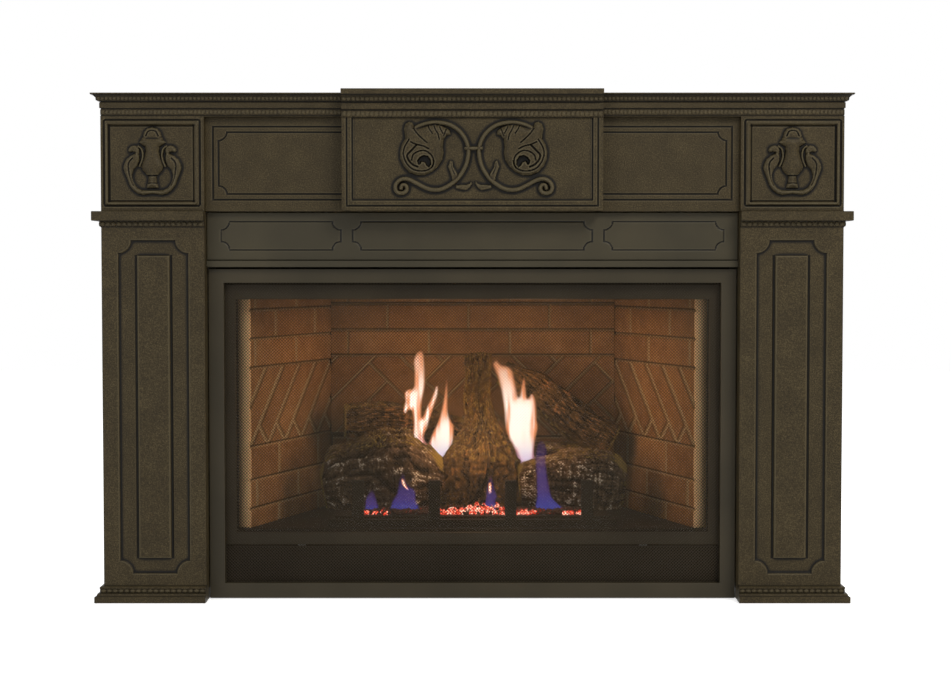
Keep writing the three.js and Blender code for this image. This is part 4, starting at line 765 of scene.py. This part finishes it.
def centre_shape():
    shape = Shape()
    across, up = crossings(span(-BLOCK_EDGE, BLOCK_EDGE, CARVED_STEP),
                           span(HEADER_FOOT, BLOCK_FACE_TOP + 0.6, CARVED_STEP))
    outer = rectangle_distance(across, up, (-178, 178), (567.2, 720))
    field = rectangle_distance(across, up, (-169.6, 169.6), (575.8, 720))
    depth = line(outer, 2.8, 2.2) + line(field, 2.8, 2.6) + sunk(field, 2.6, 1.8) - scroll_height(across, up)
    carved_plate(shape, across, up, BLOCK_FACE, depth, 12)
    front, back = BLOCK_FACE + 11.5, FRIEZE_FACE - 0.3
    for shape.mirrored in (True, False):
        slab(shape, (BLOCK_EDGE - CAST_WALL * 1.6, BLOCK_EDGE), (front, back),
             (HEADER_FOOT, BLOCK_SHELF_FOOT))
    between = (1 - BLOCK_EDGE, BLOCK_EDGE - 1)
    slab(shape, between, (front, back), (HEADER_FOOT, HEADER_FOOT + CAST_WALL))
    slab(shape, between, (BLOCK_FACE + 1, back), (BLOCK_FACE_TOP, BLOCK_SHELF_FOOT))
    slab(shape, (-BLOCK_EDGE, BLOCK_EDGE), (BLOCK_FACE + 1, 0), (BLOCK_SHELF_FOOT + 1, BLOCK_TOP), 0.5)
    # third numbers lay dust and painted shade in the profile's crevices
    cornice = [(-9, BLOCK_FACE_TOP), (0, BLOCK_FACE_TOP, 0.3), (0.3, 691.4), (-0.6, 691.7, 1),
               (-0.6, 692.1, 1), (0, 692.6, 0.1), (0, 700.8, 0.1), (-0.6, 701.5, 1), (-0.6, 702.7, 1),
               (1.4, 703.2), (2.0, 703.8), (2.0, 711.3), (1.6, 711.9), (0.6, 712.5, 1), (0.8, 713.8, 1),
               (3.4, 714.4, 0.25), (5.6, 718, 0.25), (10.4, 722.0, 0.6), (11, 722.9, 1), (14.2, 723.2, 0.7),
               (BLOCK_SHELF_REACH, 724.2), (BLOCK_SHELF_REACH, BLOCK_TOP - 0.8),
               (BLOCK_SHELF_REACH - 0.8, BLOCK_TOP), (-1.5, BLOCK_TOP), (-1.6, BLOCK_TOP - 1),
               (-9, BLOCK_TOP - 1)]
    moulding(shape, cornice, [(-BLOCK_EDGE, BLOCK_FACE, 0, -1), (BLOCK_EDGE, BLOCK_FACE, 0, -1)])
    for reach, z, half in ((0, 696.7, (3.25, 0.55, 4.1)), (6.2, 718.2, (3.25, 1.1, 3.9))):
        egg_row(shape, (between[0], BLOCK_FACE - reach, z), (between[1], BLOCK_FACE - reach, z), 6.5, half,
                (0, -1))
    return shape


centre_shape().piece("scroll_block", iron, "cast_iron", "centre_block")

# ---------------------------------------------------------------- brick liner

BRICK_WIDTH = 43.0
HERRING_BRICK = 3  # a herringbone brick is this many widths long
BRICK_TONES = 97
BRICK_STEP = 1.3


def waves(u, v, rng, count, scale):
    """Smooth noise on a surface from a sum of slanted waves; u and v in mm."""
    total = np.zeros_like(u)
    for _ in range(count):
        along, round_ = rng.normal(0, 1 / scale[0]), rng.normal(0, 1 / scale[1])
        total += np.sin(FULL_TURN * (u * along + v * round_) + rng.random() * 6.28)
    return total / math.sqrt(count)


def herringbone(across, rise):
    """Bricks laid both ways at 45 degrees: the distance to the nearest joint, and the brick's number."""
    p = (across + rise) / math.sqrt(2) / BRICK_WIDTH
    q = (rise - across) / math.sqrt(2) / BRICK_WIDTH
    column, row = np.floor(p).astype(int), np.floor(q).astype(int)
    kind = (column - row) % (2 * HERRING_BRICK)
    lying = kind < HERRING_BRICK
    along = np.where(lying, p - column + kind, q - row + (5 - kind))
    beside = np.where(lying, q - row, p - column)
    gap = np.minimum(np.minimum(along, HERRING_BRICK - along), np.minimum(beside, 1 - beside)) * BRICK_WIDTH
    return gap, np.where(lying, (column - kind) * 31 + row * 17, column * 13 + (row - (5 - kind)) * 37 + 5)


def leaning_row(across, rise):
    """One row of bricks that lean back, with small three-cornered pieces between their feet."""
    strip = (across - rise) / math.sqrt(2) / BRICK_WIDTH
    column = np.floor(strip)
    foot = ((column + 1) * BRICK_WIDTH * math.sqrt(2) - across - rise) / math.sqrt(2)
    gap = np.minimum(np.minimum(strip - column, column + 1 - strip) * BRICK_WIDTH, np.abs(foot))
    return gap, (column * 7 + np.where(foot > 0, 3, 0)).astype(int)


def brick_wall(name, node, corner, along, length, seed, rows, starts, pitch, band, slanted):
    """One panel of the liner. corner is its first lower edge, and along its direction over the floor.
    Straight courses between the rows' heights stand below and above a band of slanted bricks."""
    across, up = crossings(span(0, length, BRICK_STEP), span(FIRE_FLOOR, BRICK_TOP, BRICK_STEP))
    leftward = along[0] < 0
    into_wall = (along[1], -along[0]) if leftward else (-along[1], along[0])
    upright, number = np.full(across.shape, 99.0), np.zeros(across.shape, int)
    for k, (z0, z1, start) in enumerate(zip(rows, rows[1:], starts)):
        here, shifted = (up >= z0) & (up < z1), across - start
        upright = np.where(here, np.abs(shifted - np.round(shifted / pitch) * pitch), upright)
        number = np.where(here, np.floor(shifted / pitch).astype(int) * 5 + k * 11, number)
    in_band = (up >= band[0]) & (up < band[1])
    gap, slanted_number = slanted(across, up - band[0])
    upright = np.where(in_band, gap, upright)
    number = np.where(in_band, slanted_number, number) % BRICK_TONES
    level = np.min([np.abs(up - z) for z in rows[1:-1]], axis=0)

    rng = np.random.default_rng(seed)
    tone = rng.random(BRICK_TONES)[number]
    # the side panels have wider, shallower upright joints, that still read when seen along the wall
    turned = along[1] > 0
    broad, joint_depth = (2.2, 2.4) if turned else (1.0, 3.6)
    joint_level = np.clip(1 - (level - 0.8) / 2.0, 0, 1)
    joint = np.maximum(np.clip(1 - (upright - 0.8 * broad) / (1.8 * broad), 0, 1), joint_level)
    rough = rng.normal(0, 0.2, across.shape)
    wide = waves(across, up, rng, 10, (60, 60))
    depth = np.clip(joint_depth * joint**0.7 + rough + (tone - 0.5) * 1.0 + 0.25 * wide, 0, None)

    # each joint holds a painted shade along its upper edge, where the light does not reach, and the slanted
    # joints a painted shade along one side; painted shade darkens the courses under the roof; the side panels
    # have a smooth pale end towards the room, made paler still as painted light where the frame shades it
    above = np.clip(1 - np.min([np.abs(up - z - 1.6) for z in rows[1:-1]], axis=0) / 2.0, 0, 1)
    beside = in_band * np.clip(1 - np.abs(upright - 2.2 * broad) / (1.1 * broad), 0, 1)
    roof_shade = np.clip((up - 375) / 60, 0, 1) * 0.45
    rim = np.clip((3 - across) / 2, 0, 1) * turned
    shade = np.clip(above * 1.1 + beside * 0.6 + roof_shade, 0, 1) * (1 - rim)

    def face_at(depth):
        return np.stack([corner[0] + along[0] * across + into_wall[0] * depth,
                         corner[1] + along[1] * across + into_wall[1] * depth, up], -1).reshape(-1, 3)

    grid, others, ring = sheet_faces(*across.shape)
    values = {"joint": (joint * (1 - 0.45 * joint_level), 0), "brick_tone": (0.3 + 0.4 * tone, 0.5),
              "rim": (rim, turned), "shade": (shade, 0)}
    shape = Shape()
    shape.add(np.concatenate([face_at(depth), face_at(BRICK_THICK)[ring]]),
              [f[::-1] if leftward else f for f in grid + others],
              **{key: np.append(front.ravel(), np.full(len(ring), float(rest)))
                 for key, (front, rest) in values.items()})
    shape.piece(name, brick, "brick", node)


SIDE_IN, SIDE_BACK = 97, 282  # how far a side panel runs inwards and backwards
SIDE_RUN = math.hypot(SIDE_IN, SIDE_BACK)
SIDE_ALONG = (SIDE_IN / SIDE_RUN, SIDE_BACK / SIDE_RUN)
SIDE_COURSES = ([80, 124.4, 166.8, 215.9, 332.1, 374.7, 417.2, 460], [100.6, 25, 100.6, 0, 20, 90, 20], 146,
                (215.9, 332.1), leaning_row)
BACK_COURSES = ([80, 121, 163.5, 206, 339, 380, 422.5, 460], [27, 91, 27, 0, 27, 91, 27], 131, (206, 339),
                herringbone)
brick_wall("back_brick_panel", "brick_back", (-229, BACK_FACE), (1, 0), 458, 31, *BACK_COURSES)
brick_wall("left_brick_panel", "brick_left", (-326, 10), SIDE_ALONG, SIDE_RUN, 32, *SIDE_COURSES)
brick_wall("right_brick_panel", "brick_right", (326, 10), (-SIDE_ALONG[0], SIDE_ALONG[1]), SIDE_RUN, 33,
           *SIDE_COURSES)

# a bracket at the left of the back bricks, and the head of a screw at their right
clip = Shape()
slab(clip, (-231, -195), (BACK_FACE - 4, BACK_FACE - 0.5), (208.4, 214.4), 0.5)
slab(clip, (-231, -226), (BACK_FACE - 4, BACK_FACE - 0.5), (188, 209), 0.5)
slab(clip, (223.4, 228.6), (BACK_FACE - 3, BACK_FACE - 0.5), (205.4, 210.8), 0.8)
clip.piece("liner_clips", black_paint, "black_steel")

# ---------------------------------------------------------------- logs

LOG_STATIONS = 116
LOG_TURNS = 120
END_RINGS = 6
CRACKS = 44


def log(name, node, material, seed, depth_share, axis, bark_side, gnarled=1.0):
    """A log along an axis of (x, y, z, half height), with cracked bark and cut ends. It lies flat on what is
    under its solid. bark_side gives how much olive bark shows, left bark and painted firelight together,
    from its turn (0 is the top) and its place along the log."""
    rng = np.random.default_rng(seed)
    axis = np.array(axis, float)
    steps = np.linspace(0, len(axis) - 1, LOG_STATIONS)
    centre = np.stack([np.interp(steps, np.arange(len(axis)), axis[:, k]) for k in range(4)], 1)
    centre[3:-3] = np.stack([np.convolve(centre[:, k], np.ones(7) / 7, "valid") for k in range(4)], 1)
    centre, half = centre[:, :3], centre[:, 3]
    run = np.gradient(centre, axis=0)
    run /= np.linalg.norm(run, axis=1)[:, None]
    side = np.cross(run, (0, 1, 0))
    side /= np.linalg.norm(side, axis=1)[:, None]
    deep = np.cross(side, run)
    length = np.append(0, np.cumsum(np.linalg.norm(np.diff(centre, axis=0), axis=1)))
    turn = np.linspace(0, FULL_TURN, LOG_TURNS, endpoint=False)
    u, v = crossings(length, half.mean() * turn)

    # one wave round the log is 40 mm of noise, so that the bark meets itself
    over, beside = np.cos(turn)[None, :] * 40, np.sin(turn)[None, :] * 40
    lumps = waves(u, over, rng, 9, (120, 55)) + waves(u, beside, rng, 9, (120, 55))
    crack = np.zeros_like(u)
    for k in range(CRACKS):
        at, wide = rng.random() * FULL_TURN, rng.uniform(0.03, 0.08)
        start, reach = rng.uniform(-0.1, 0.9) * length[-1], rng.uniform(0.15, 0.6) * length[-1]
        wander = 0.16 * np.sin(u / 21.0 + k) + 0.08 * np.sin(u / 8.0 + 2 * k)
        away = np.abs((turn[None, :] - at + wander + math.pi) % FULL_TURN - math.pi)
        within = np.clip(np.minimum(u - start, start + reach - u) / 18, 0, 1)
        crack = np.maximum(crack, np.clip(1 - away / wide, 0, 1) * within)
    flakes = waves(u, over * 2.4 + beside, rng, 14, (26, 11))
    crumbs = waves(u, over * 1.3, rng, 16, (9, 8)) + waves(u, beside * 1.3, rng, 16, (9, 8))
    swelling = np.clip(1 + gnarled * (0.03 * lumps + 0.03 * flakes + 0.016 * crumbs - 0.1 * crack), 0.6, 1.12)
    crest = np.clip(0.52 + 0.18 * flakes + 0.12 * crumbs + 0.06 * lumps - 0.5 * crack, 0, 1)
    left = np.clip(bark_side(turn[None, :], u / length[-1]), 0, 1)
    reach_out = swelling * half[:, None]
    rings = (centre[:, None, :] + side[:, None, :] * (reach_out * np.cos(turn))[..., None]
             + deep[:, None, :] * (reach_out * depth_share * np.sin(turn))[..., None])

    points, faces = [rings.reshape(-1, 3)], ring_faces(LOG_STATIONS, LOG_TURNS)
    grain, crests = [np.stack([u.ravel(), v.ravel()], 1) * MM], [crest.ravel()]
    # cut ends: growth rings that step in towards the middle
    around, count = np.arange(LOG_TURNS), u.size
    for end, sign in ((0, -1), (LOG_STATIONS - 1, 1)):
        middle, last = rings[end].mean(0), end * LOG_TURNS + around
        for ring in range(1, END_RINGS + 1):
            share = 1 - ring / (END_RINGS + 1)
            points.append(middle + (rings[end] - middle) * share + run[end] * sign
                          * (1.2 * math.sin(ring * 2.4) - 1.5))
            grain.append(np.stack([np.full(LOG_TURNS, share * 0.12), turn * 0.004], 1))
            crests.append(np.full(LOG_TURNS, 0.95 - 0.5 * (ring % 2)))
            current, count = count + around, count + LOG_TURNS
            quads = np.stack([last, np.roll(last, -1), np.roll(current, -1), current], 1)
            faces += (quads if sign < 0 else quads[:, ::-1]).tolist()
            last = current
        faces.append((last if sign < 0 else last[::-1]).tolist())
    points = np.concatenate(points)
    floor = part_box(node)[0][2] / MM
    # a little slack keeps the flat underside from folding onto itself
    low = points[:, 2] < floor
    points[low, 2] = floor + (points[low, 2] - floor) * 0.002 + 0.2
    shape = Shape()
    shape.add(points, [f[::-1] for f in faces], grain=np.concatenate(grain), ridge=np.concatenate(crests),
              bark_left=np.append(left.ravel(), np.full(count - u.size, 0.75)))
    shape.piece(name, material, "log", node)


def top_bark_and_firelight(turn, share):
    """Bark along the top, with painted firelight on it, and round both ends."""
    return (np.clip((np.cos(turn) - 0.55) * 4, 0, 1) * 0.7 + np.clip((0.05 - share) * 20, 0, 1)
            + np.clip((share - 0.86) * 9, 0, 1) * 0.7)


def bark_above_foot(turn, share):
    """Bark nearly all over, burnt away towards the foot."""
    return 0.68 - 0.5 * np.clip((0.3 - share) * 6, 0, 1)


log("charred_left_log", "front_left_log", dark_log, 3, 0.54,
    [(-229, 124, 142, 31), (-218, 124, 144, 46), (-202, 124, 148, 60), (-171, 124, 148, 74),
     (-150, 124, 148, 84), (-120, 124, 148, 88), (-99, 124, 148, 85), (-84, 124, 148, 72),
     (-66, 124, 147, 58), (-50, 124, 146, 44), (-40, 124, 144, 22)], top_bark_and_firelight)
log("charred_right_log", "front_right_log", dark_log, 5, 0.72,
    [(70, 124, 148, 28), (95, 124, 150, 37), (119, 124, 150, 43), (149, 124, 150, 51), (176, 124, 150, 55),
     (201, 124, 150, 53), (222, 124, 149, 45), (233, 124, 148, 32)], top_bark_and_firelight)
log("leaning_centre_log", "centre_log", pale_log, 8, 0.62,
    [(12.5, 122, 113, 60), (12.5, 124, 158, 60), (14.5, 130, 188, 57), (13, 140, 215, 40),
     (12.5, 146, 232, 29), (11.5, 152, 247, 21), (6, 166, 277, 20), (9, 178, 307, 19), (7.5, 190, 345, 21)],
    bark_above_foot, 2.6)
log("upper_left_branch", "upper_left_log", pale_log, 11, 0.9,
    [(-202, 200, 241, 25), (-140, 208, 241, 29), (-70, 218, 230, 29), (-4, 225, 216, 22)], top_bark_and_firelight)
log("upper_right_branch", "upper_right_log", pale_log, 14, 0.9,
    [(220, 208, 207, 26), (160, 208, 240, 30), (100, 207, 288, 28), (46, 207, 316, 19)], top_bark_and_firelight)
log("rear_log_bark", "rear_log", dark_log, 17, 0.78,
    [(-203, 224, 161, 38), (-130, 224, 161, 44), (0, 224, 161, 47), (130, 224, 161, 44), (203, 224, 161, 37)],
    top_bark_and_firelight)

# ---------------------------------------------------------------- embers and flames

EMBER_BED = 112.8
TUFTS = 620
FLAME_STEP = 1.5
FLAME_SCALE = 1.146  # the left flame's outlines were taken smaller than the others
FLAME_LEFT = (-121, -107.4)  # its left edge as taken, and at full size
FLAME_TIP = 353


def tuft(shape, centre, size, rng, warmth):
    """One torn tuft of glowing wool."""
    turns, rings = 7, 4
    tilt = rng.normal(0, 0.3, 3)
    lift, turn = crossings(math.pi * np.arange(1, rings + 1) / (rings + 1),
                           FULL_TURN * np.arange(turns) / turns)
    way = np.stack([np.sin(lift) * np.cos(turn), np.sin(lift) * np.sin(turn), 0.8 * np.cos(lift)], -1)
    bulge = size * rng.uniform(0.7, 1.15, lift.shape)
    points = (centre + bulge[..., None] * (way + tilt * way[..., ::-1] * 0.4)).reshape(-1, 3)
    top, last = rings * turns, (rings - 1) * turns
    faces = [[a, d, c, b] for a, b, c, d in ring_faces(rings, turns)]
    faces += [[top, j, (j + 1) % turns] for j in range(turns)]
    faces += [[top + 1, last + (j + 1) % turns, last + j] for j in range(turns)]
    shape.add(np.vstack([points, centre + (0, 0, size * 0.8), centre - (0, 0, size * 0.8)]), faces,
              warmth=warmth)


def ember_shape():
    """Tufts over the whole tray, heaped and glowing along its front where the burner's ports are."""
    rng = np.random.default_rng(21)
    shape = Shape()
    # from, to, and how much higher the glowing heap is there
    glowing = [(-164, -122, 1), (-60, -49, 1), (-49, -20, 4), (-20, 48, 8), (66, 94, 2), (134, 161, 2)]
    for _ in range(TUFTS):
        x, y = rng.uniform(-174, 174), rng.uniform(33, 83)
        size = rng.uniform(2.0, 4.2)
        extra = max((rise for a, b, rise in glowing if a < x < b), default=-1)
        hot = extra >= 0 and y < 42 + 5 * extra and rng.random() < 0.8
        tall = 6 + max(extra, 0)
        z = EMBER_BED + size * 0.8 + rng.random() * max(tall - size, 0.5) * (y - 25) / 60
        warmth = rng.uniform(0.85, 1.3) if hot else rng.uniform(0.3, 0.55)
        tuft(shape, np.array([x, y, z]), size, rng, warmth)
    return shape


ember_shape().piece("glowing_embers", embers, "ember", "ember_bed")


def flame(shape, outline, depth, thick, soft):
    """A sheet of flame inside an outline, rounded from front to back and thin at its rim. soft is how far in
    from the rim it grows to its full thickness and light."""
    ring = smooth_path(list(outline) + [outline[0]], 4)[:, :2]
    low, high = ring.min(0), ring.max(0)
    across, up = crossings(*(span(low[k] - 1.6, high[k] + 1.6, FLAME_STEP) for k in (0, 1)))
    hit, away = inside(across, up, ring.tolist())
    share = np.where(hit, np.clip(away / soft, 0, 1), 0)
    inner = share > 0
    lit = inner[:-1, :-1] | inner[1:, :-1] | inner[:-1, 1:] | inner[1:, 1:]
    used = np.zeros(across.shape, bool)
    for i, j in ((0, 0), (1, 0), (0, 1), (1, 1)):
        used[i : i + lit.shape[0], j : j + lit.shape[1]] |= lit
    # the front and the back share the points on the rim
    front = np.cumsum(used).reshape(used.shape) - 1
    back = np.where(inner, used.sum() + np.cumsum(inner).reshape(used.shape) - 1, front)
    out = thick * np.sqrt(1 - (1 - share) ** 2)
    i, j = np.nonzero(lit)
    corners = ((i, j), (i + 1, j), (i + 1, j + 1), (i, j + 1))
    faces = [np.stack([front[c] for c in corners], 1), np.stack([back[c] for c in corners[::-1]], 1)]
    grain = np.stack([1 - share, (up - low[1]) / (high[1] - low[1])], -1)
    shape.add(np.concatenate([np.stack([across, depth - out, up], -1)[used],
                              np.stack([across, depth + out, up], -1)[inner]]),
              np.concatenate(faces).tolist(), grain=np.concatenate([grain[used], grain[inner]]))


def full_size(outline):
    """An outline of the left flame brought to full size, with its tip kept at the same height."""
    return [(FLAME_LEFT[1] + FLAME_SCALE * (x - FLAME_LEFT[0]), FLAME_TIP - FLAME_SCALE * (FLAME_TIP - z))
            for x, z in outline]


yellow = Shape()
# tall tongue of the left flame with its side lobe
flame(yellow, full_size([
    (-108, 240), (-107, 254), (-108, 266), (-110, 272), (-114, 272), (-118, 268), (-121, 272), (-118.5, 284),
    (-119, 296), (-113.5, 301), (-107, 303), (-106, 325), (-107, 338), (-104.5, 347), (-100, 352), (-96, 353),
    (-92.5, 346), (-91.5, 330), (-91, 313), (-92, 300), (-95, 286), (-96, 273), (-95, 263), (-88.5, 278),
    (-83, 289), (-79, 299), (-75.5, 307), (-73.5, 300), (-75.5, 289), (-80.5, 273), (-85, 260), (-89, 247),
    (-92.5, 234), (-80, 212), (-80, 196), (-98, 200), (-105, 226)]), 148, 5, 10)
flame(yellow, full_size([
    (-88, 222), (-83, 238), (-75.5, 254), (-70.5, 268), (-67.3, 283), (-64.4, 302), (-62, 318), (-61, 306),
    (-60.7, 289), (-60, 268), (-56, 258), (-52.3, 249), (-53.5, 231), (-57, 215), (-60, 205), (-62, 200),
    (-74, 200), (-84, 208)]), 144, 5, 10)
# right flame
flame(yellow, [(37, 340), (44, 332), (55, 329), (61, 323), (64, 312), (67, 297), (69.7, 283), (72.5, 285),
               (74.4, 298), (77.3, 308), (79.2, 311), (81, 304), (82, 293), (84.4, 280), (89, 285), (92, 287),
               (96.4, 278), (98.4, 262), (98.8, 247), (100.9, 235), (98.4, 224), (96, 210), (94.8, 197),
               (96, 178), (92, 168), (82, 168), (74.5, 174), (69, 188), (62, 205.5), (55.4, 218), (50.6, 233),
               (48.7, 252.5), (46.7, 270), (43.8, 289), (39, 308), (33.3, 324), (30.4, 333)], 140, 6, 13)
# small tongues over the front ports
flame(yellow, [(-105.6, 165), (-103.3, 163), (-101, 156), (-95.6, 147), (-100, 149), (-104.9, 156),
               (-106.6, 162)], 62, 1.4, 2.2)
flame(yellow, [(26, 161.5), (28.2, 154), (28, 145), (25.5, 141), (23.7, 152)], 62, 1.4, 2.0)
yellow.piece("yellow_flames", yellow_flame, "ember")

blue = Shape()
flame(blue, [(-162, 116), (-161.5, 129), (-159.5, 136), (-155.5, 143), (-151.5, 147), (-148, 144),
             (-145.5, 137), (-143.5, 130), (-142, 116)], 68, 2.5, 6)
flame(blue, [(-124, 116), (-121, 130), (-114.6, 140), (-112, 152), (-110.6, 160), (-107.4, 168), (-105, 173),
             (-102, 168), (-99.6, 160), (-95.6, 153), (-87.7, 148), (-85, 142), (-84.6, 131), (-82.6, 116)],
      68, 2.5, 7)
flame(blue, [(16.7, 116), (19.5, 133), (21.3, 152), (25, 165), (28, 168.4), (31.6, 157), (34.4, 144),
             (37, 136.6), (34.4, 129), (36, 116)], 68, 2.5, 5)
flame(blue, [(96, 214), (104, 222), (112, 209), (111, 192), (112, 174), (116, 151), (119.5, 136), (127, 127),
             (137, 116), (97, 116), (96.2, 136), (95.2, 166), (94, 189)], 72, 3, 7)
blue.piece("blue_flames", blue_flame, "ember")

# ---------------------------------------------------------------- screen wire


def wire_shape():
    """Straight wires both ways at 45 degrees. Real barrier wire is woven at about 1.5 mm. It is drawn at
    3.2 mm so that single wires still show in the render."""
    shape = Shape()
    pitch, thick, wide = 3.2, 0.75, 0.62
    half, step = wide / math.sqrt(2), pitch * math.sqrt(2)
    z0, z1 = MESH_Z
    for way, y in ((1, (MESH_Y[0], MESH_Y[0] + thick)), (-1, (MESH_Y[1] - thick, MESH_Y[1]))):
        for k in range(1, int((2 * MESH_X + z1 - z0) / step)):
            # where the wire would meet the foot of the net
            foot = -MESH_X - (z1 - z0) + k * step
            t0, t1 = max(0.0, -MESH_X - foot), min(z1 - z0, MESH_X - foot)
            if t1 - t0 < 2:
                continue
            points = [(way * (foot + t + across), y[back], z0 + t) for t in (t0, t1)
                      for across, back in ((-half, 0), (half, 0), (half, 1), (-half, 1))]
            faces = [[0, 1, 5, 4], [1, 2, 6, 5], [2, 3, 7, 6], [3, 0, 4, 7], [3, 2, 1, 0], [4, 5, 6, 7]]
            shape.add(points, [f[::way] for f in faces], 0)
    return shape


wire_shape().piece("screen_wire", wire_paint, "screen_mesh", "screen_mesh", body="screen")

# ---------------------------------------------------------------- hood strip


def hood_shape():
    """The folded strip under the header with its three pressed outlines and its lip."""
    shape = Shape()
    across, up = crossings(span(-HOOD_EDGE, HOOD_EDGE, 1.2),
                           np.concatenate([span(489.2, 502, 3), span(503, 549, 0.9), span(552, 559.6, 2)]))
    cut = sum(line(notched_distance(np.abs(across), up, x, (504.7, 546.7), 12) + 0.8, 2.2, 1.6)
              for x in ((-172.5, 172.5), (188.5, 361.7)))
    # the pressed outlines hold dust and painted shade, the folded top edge takes a painted highlight, and the
    # line along the lip a painted shade
    marks_and_painted_light = dust_shade_and_highlight(cut)
    marks_and_painted_light["worn"] = np.clip(marks_and_painted_light["worn"] * 0.5 + (up > 558.5), 0, 1)
    marks_and_painted_light["hollow"] = np.clip(marks_and_painted_light["hollow"] * 1.5 + (up < 490.5), 0, 1)
    carved_plate(shape, across, up, HOOD_FACE, cut, 2, marks_and_painted_light)
    slab(shape, (-HOOD_EDGE, HOOD_EDGE), (HOOD_FACE, -0.6), (558, 559.7), 0.3)
    lip = [(0, 480.7), (3.5, 480.7), (4, 481.4), (4, 489.2), (3.9, 489.6), (0, 489.8)]
    moulding(shape, lip, [(-HOOD_EDGE, HOOD_FACE, 0, -1), (HOOD_EDGE, HOOD_FACE, 0, -1)])
    # turned-back ends that close the gap beside the screen
    for shape.mirrored in (True, False):
        slab(shape, (379.6, HOOD_EDGE), (HOOD_FACE + 1, -0.6), (481, 559), 0.3)
        slab(shape, (371.5, HOOD_EDGE), (-20.0, -18.4), (465.5, 492), 0.3)
    return shape


hood_shape().piece("pressed_hood_strip", hood_coat, "hood_steel", "hood_strip")

# the flange's edges, folded out to meet the legs so that no daylight passes beside them
flange_edges = Shape()
flange_low, flange_high = (np.array(corner) / MM - (0, WALL_Y, 0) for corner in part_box("front_flange"))
for flange_edges.mirrored in (True, False):
    slab(flange_edges, (flange_high[0] + 0.1, OPENING_EDGE - 0.3), (flange_low[1], flange_high[1]),
         (flange_low[2], flange_high[2]), 0.3)
flange_edges.piece("flange_edges", black_paint, "black_steel")

# ---------------------------------------------------------------- finishes of the solids that stay

slot_of = {part["node"]: part["material_slot"] for part in frame["record"]["subparts"]}
for name, node in nodes.items():
    node.data.materials.clear()
    node.data.materials.append(frame_coat if name in ("screen_frame",
                                                      "glass_frame") else FINISH[slot_of[name]])

SOFT_EDGED = ["screen_frame", "glass_frame", "control_door", "grate", "burner_tray", "front_flange",
              "exhaust_collar", "intake_collar", "gas_valve", "fan_motor", "gas_knob", "flame_knob",
              "fan_speed_knob", "igniter_button"]
for name in SOFT_EDGED:
    weld = nodes[name].modifiers.new("joined_corners", "WELD")
    weld.merge_threshold = 0.00002
    broken = nodes[name].modifiers.new("broken_edges", "BEVEL")
    # the rolled edges of the glass frame and the tray catch a thin line of light
    broken.width = 0.0012 if name in ("glass_frame", "burner_tray") else 0.0005
    broken.segments = 2
    broken.limit_method = "ANGLE"
    broken.angle_limit = math.radians(40)

# ---------------------------------------------------------------- floor, light and camera


def lamp(name, kind, place, aim, energy, colour="#ffffff", **settings):
    data = bpy.data.lights.new(name, kind)
    data.energy = energy
    data.color = linear(colour)[:3]
    for key, value in settings.items():
        setattr(data, key, value)
    made = bpy.data.objects.new(name, data)
    made.location = place
    made.rotation_euler = (Vector(aim) - Vector(place)).to_track_quat("-Z", "Y").to_euler()
    bpy.context.scene.collection.objects.link(made)
    return made


lamp("key_softbox", "AREA", (1.5, -2.6, 2.6), (0, 0, 0.4), 66, "#fff8ee", shape="RECTANGLE", size=1.4,
     size_y=1.0)
lamp("fill_softbox", "AREA", (-2.2, -2.4, 1.4), (0, 0, 0.35), 18, "#f4f6ff", shape="RECTANGLE", size=1.6,
     size_y=1.6)
lamp("back_softbox", "AREA", (0.6, 2.4, 2.2), (0, 0, 0.3), 30, shape="RECTANGLE", size=2.0, size_y=1.4)
# the light that the flames throw on the bricks and the logs
for name, place, energy in (("left_fire_glow", (-0.08, 0.0, 0.30), 0.6),
                            ("right_fire_glow", (0.09, -0.01, 0.31), 0.8),
                            ("front_fire_glow", (0.0, -0.085, 0.24), 1.0)):
    lamp(name, "POINT", place, (0, 0, 0), energy, "#ffc48c", shadow_soft_size=0.05).visible_camera = False


def background_share(tree):
    """1 where the camera sees a surface itself, in a reflection or through glass, and 0 where it only
    lights."""
    path = add_node(tree, "LightPath").outputs
    share = add_node(tree, "Math", {0: path["Is Camera Ray"], 1: path["Is Glossy Ray"]}, operation="MAXIMUM")
    return add_node(tree, "Math", {0: share, 1: path["Is Transmission Ray"]}, operation="MAXIMUM")


world = bpy.data.worlds.new("pale_studio")
bpy.context.scene.world = world
world.use_nodes = True
room = world.node_tree
room.nodes.clear()
dim, white = [add_node(room, "Background", in_Color="#ffffff", in_Strength=level) for level in (0.42, 1.0)]
seen = add_node(room, "MixShader", {"Fac": background_share(room), 1: dim, 2: white})
add_node(room, "OutputWorld", {"Surface": seen})


def studio_floor():
    """A pale floor that shows nearly white and keeps the object's shadow."""
    mesh = bpy.data.meshes.new("studio_floor")
    mesh.from_pydata([(-6, -5, 0), (6, -5, 0), (6, 6, 0), (-6, 6, 0)], [], [(0, 1, 2, 3)])
    floor = bpy.data.objects.new("studio_floor", mesh)
    floor.location.z = -0.0005
    bpy.context.scene.collection.objects.link(floor)
    material, tree, _ = surface("white_paper_sweep", Roughness=0.9, Base_Color=linear("#f7f7f7"),
                                Emission_Color=linear("#ffffff"))
    lift = add_node(tree, "Math", {0: background_share(tree)}, operation="MULTIPLY", in_1=0.66)
    tree.links.new(lift.outputs[0], tree.nodes["Principled BSDF"].inputs["Emission Strength"])
    mesh.materials.append(material)


studio_floor()

# the camera as fitted to the photograph, 2.4 degrees down
camera = bpy.data.objects.new("camera", bpy.data.cameras.new("camera"))
camera.data.lens = 70.67
camera.data.sensor_width = 36
camera.location = (0.0044, -2.8445, 0.474)
camera.rotation_euler = (math.radians(90 - 2.4), 0, 0)
bpy.context.scene.collection.objects.link(camera)
bpy.context.scene.camera = camera
bpy.context.scene.view_settings.view_transform = "Standard"
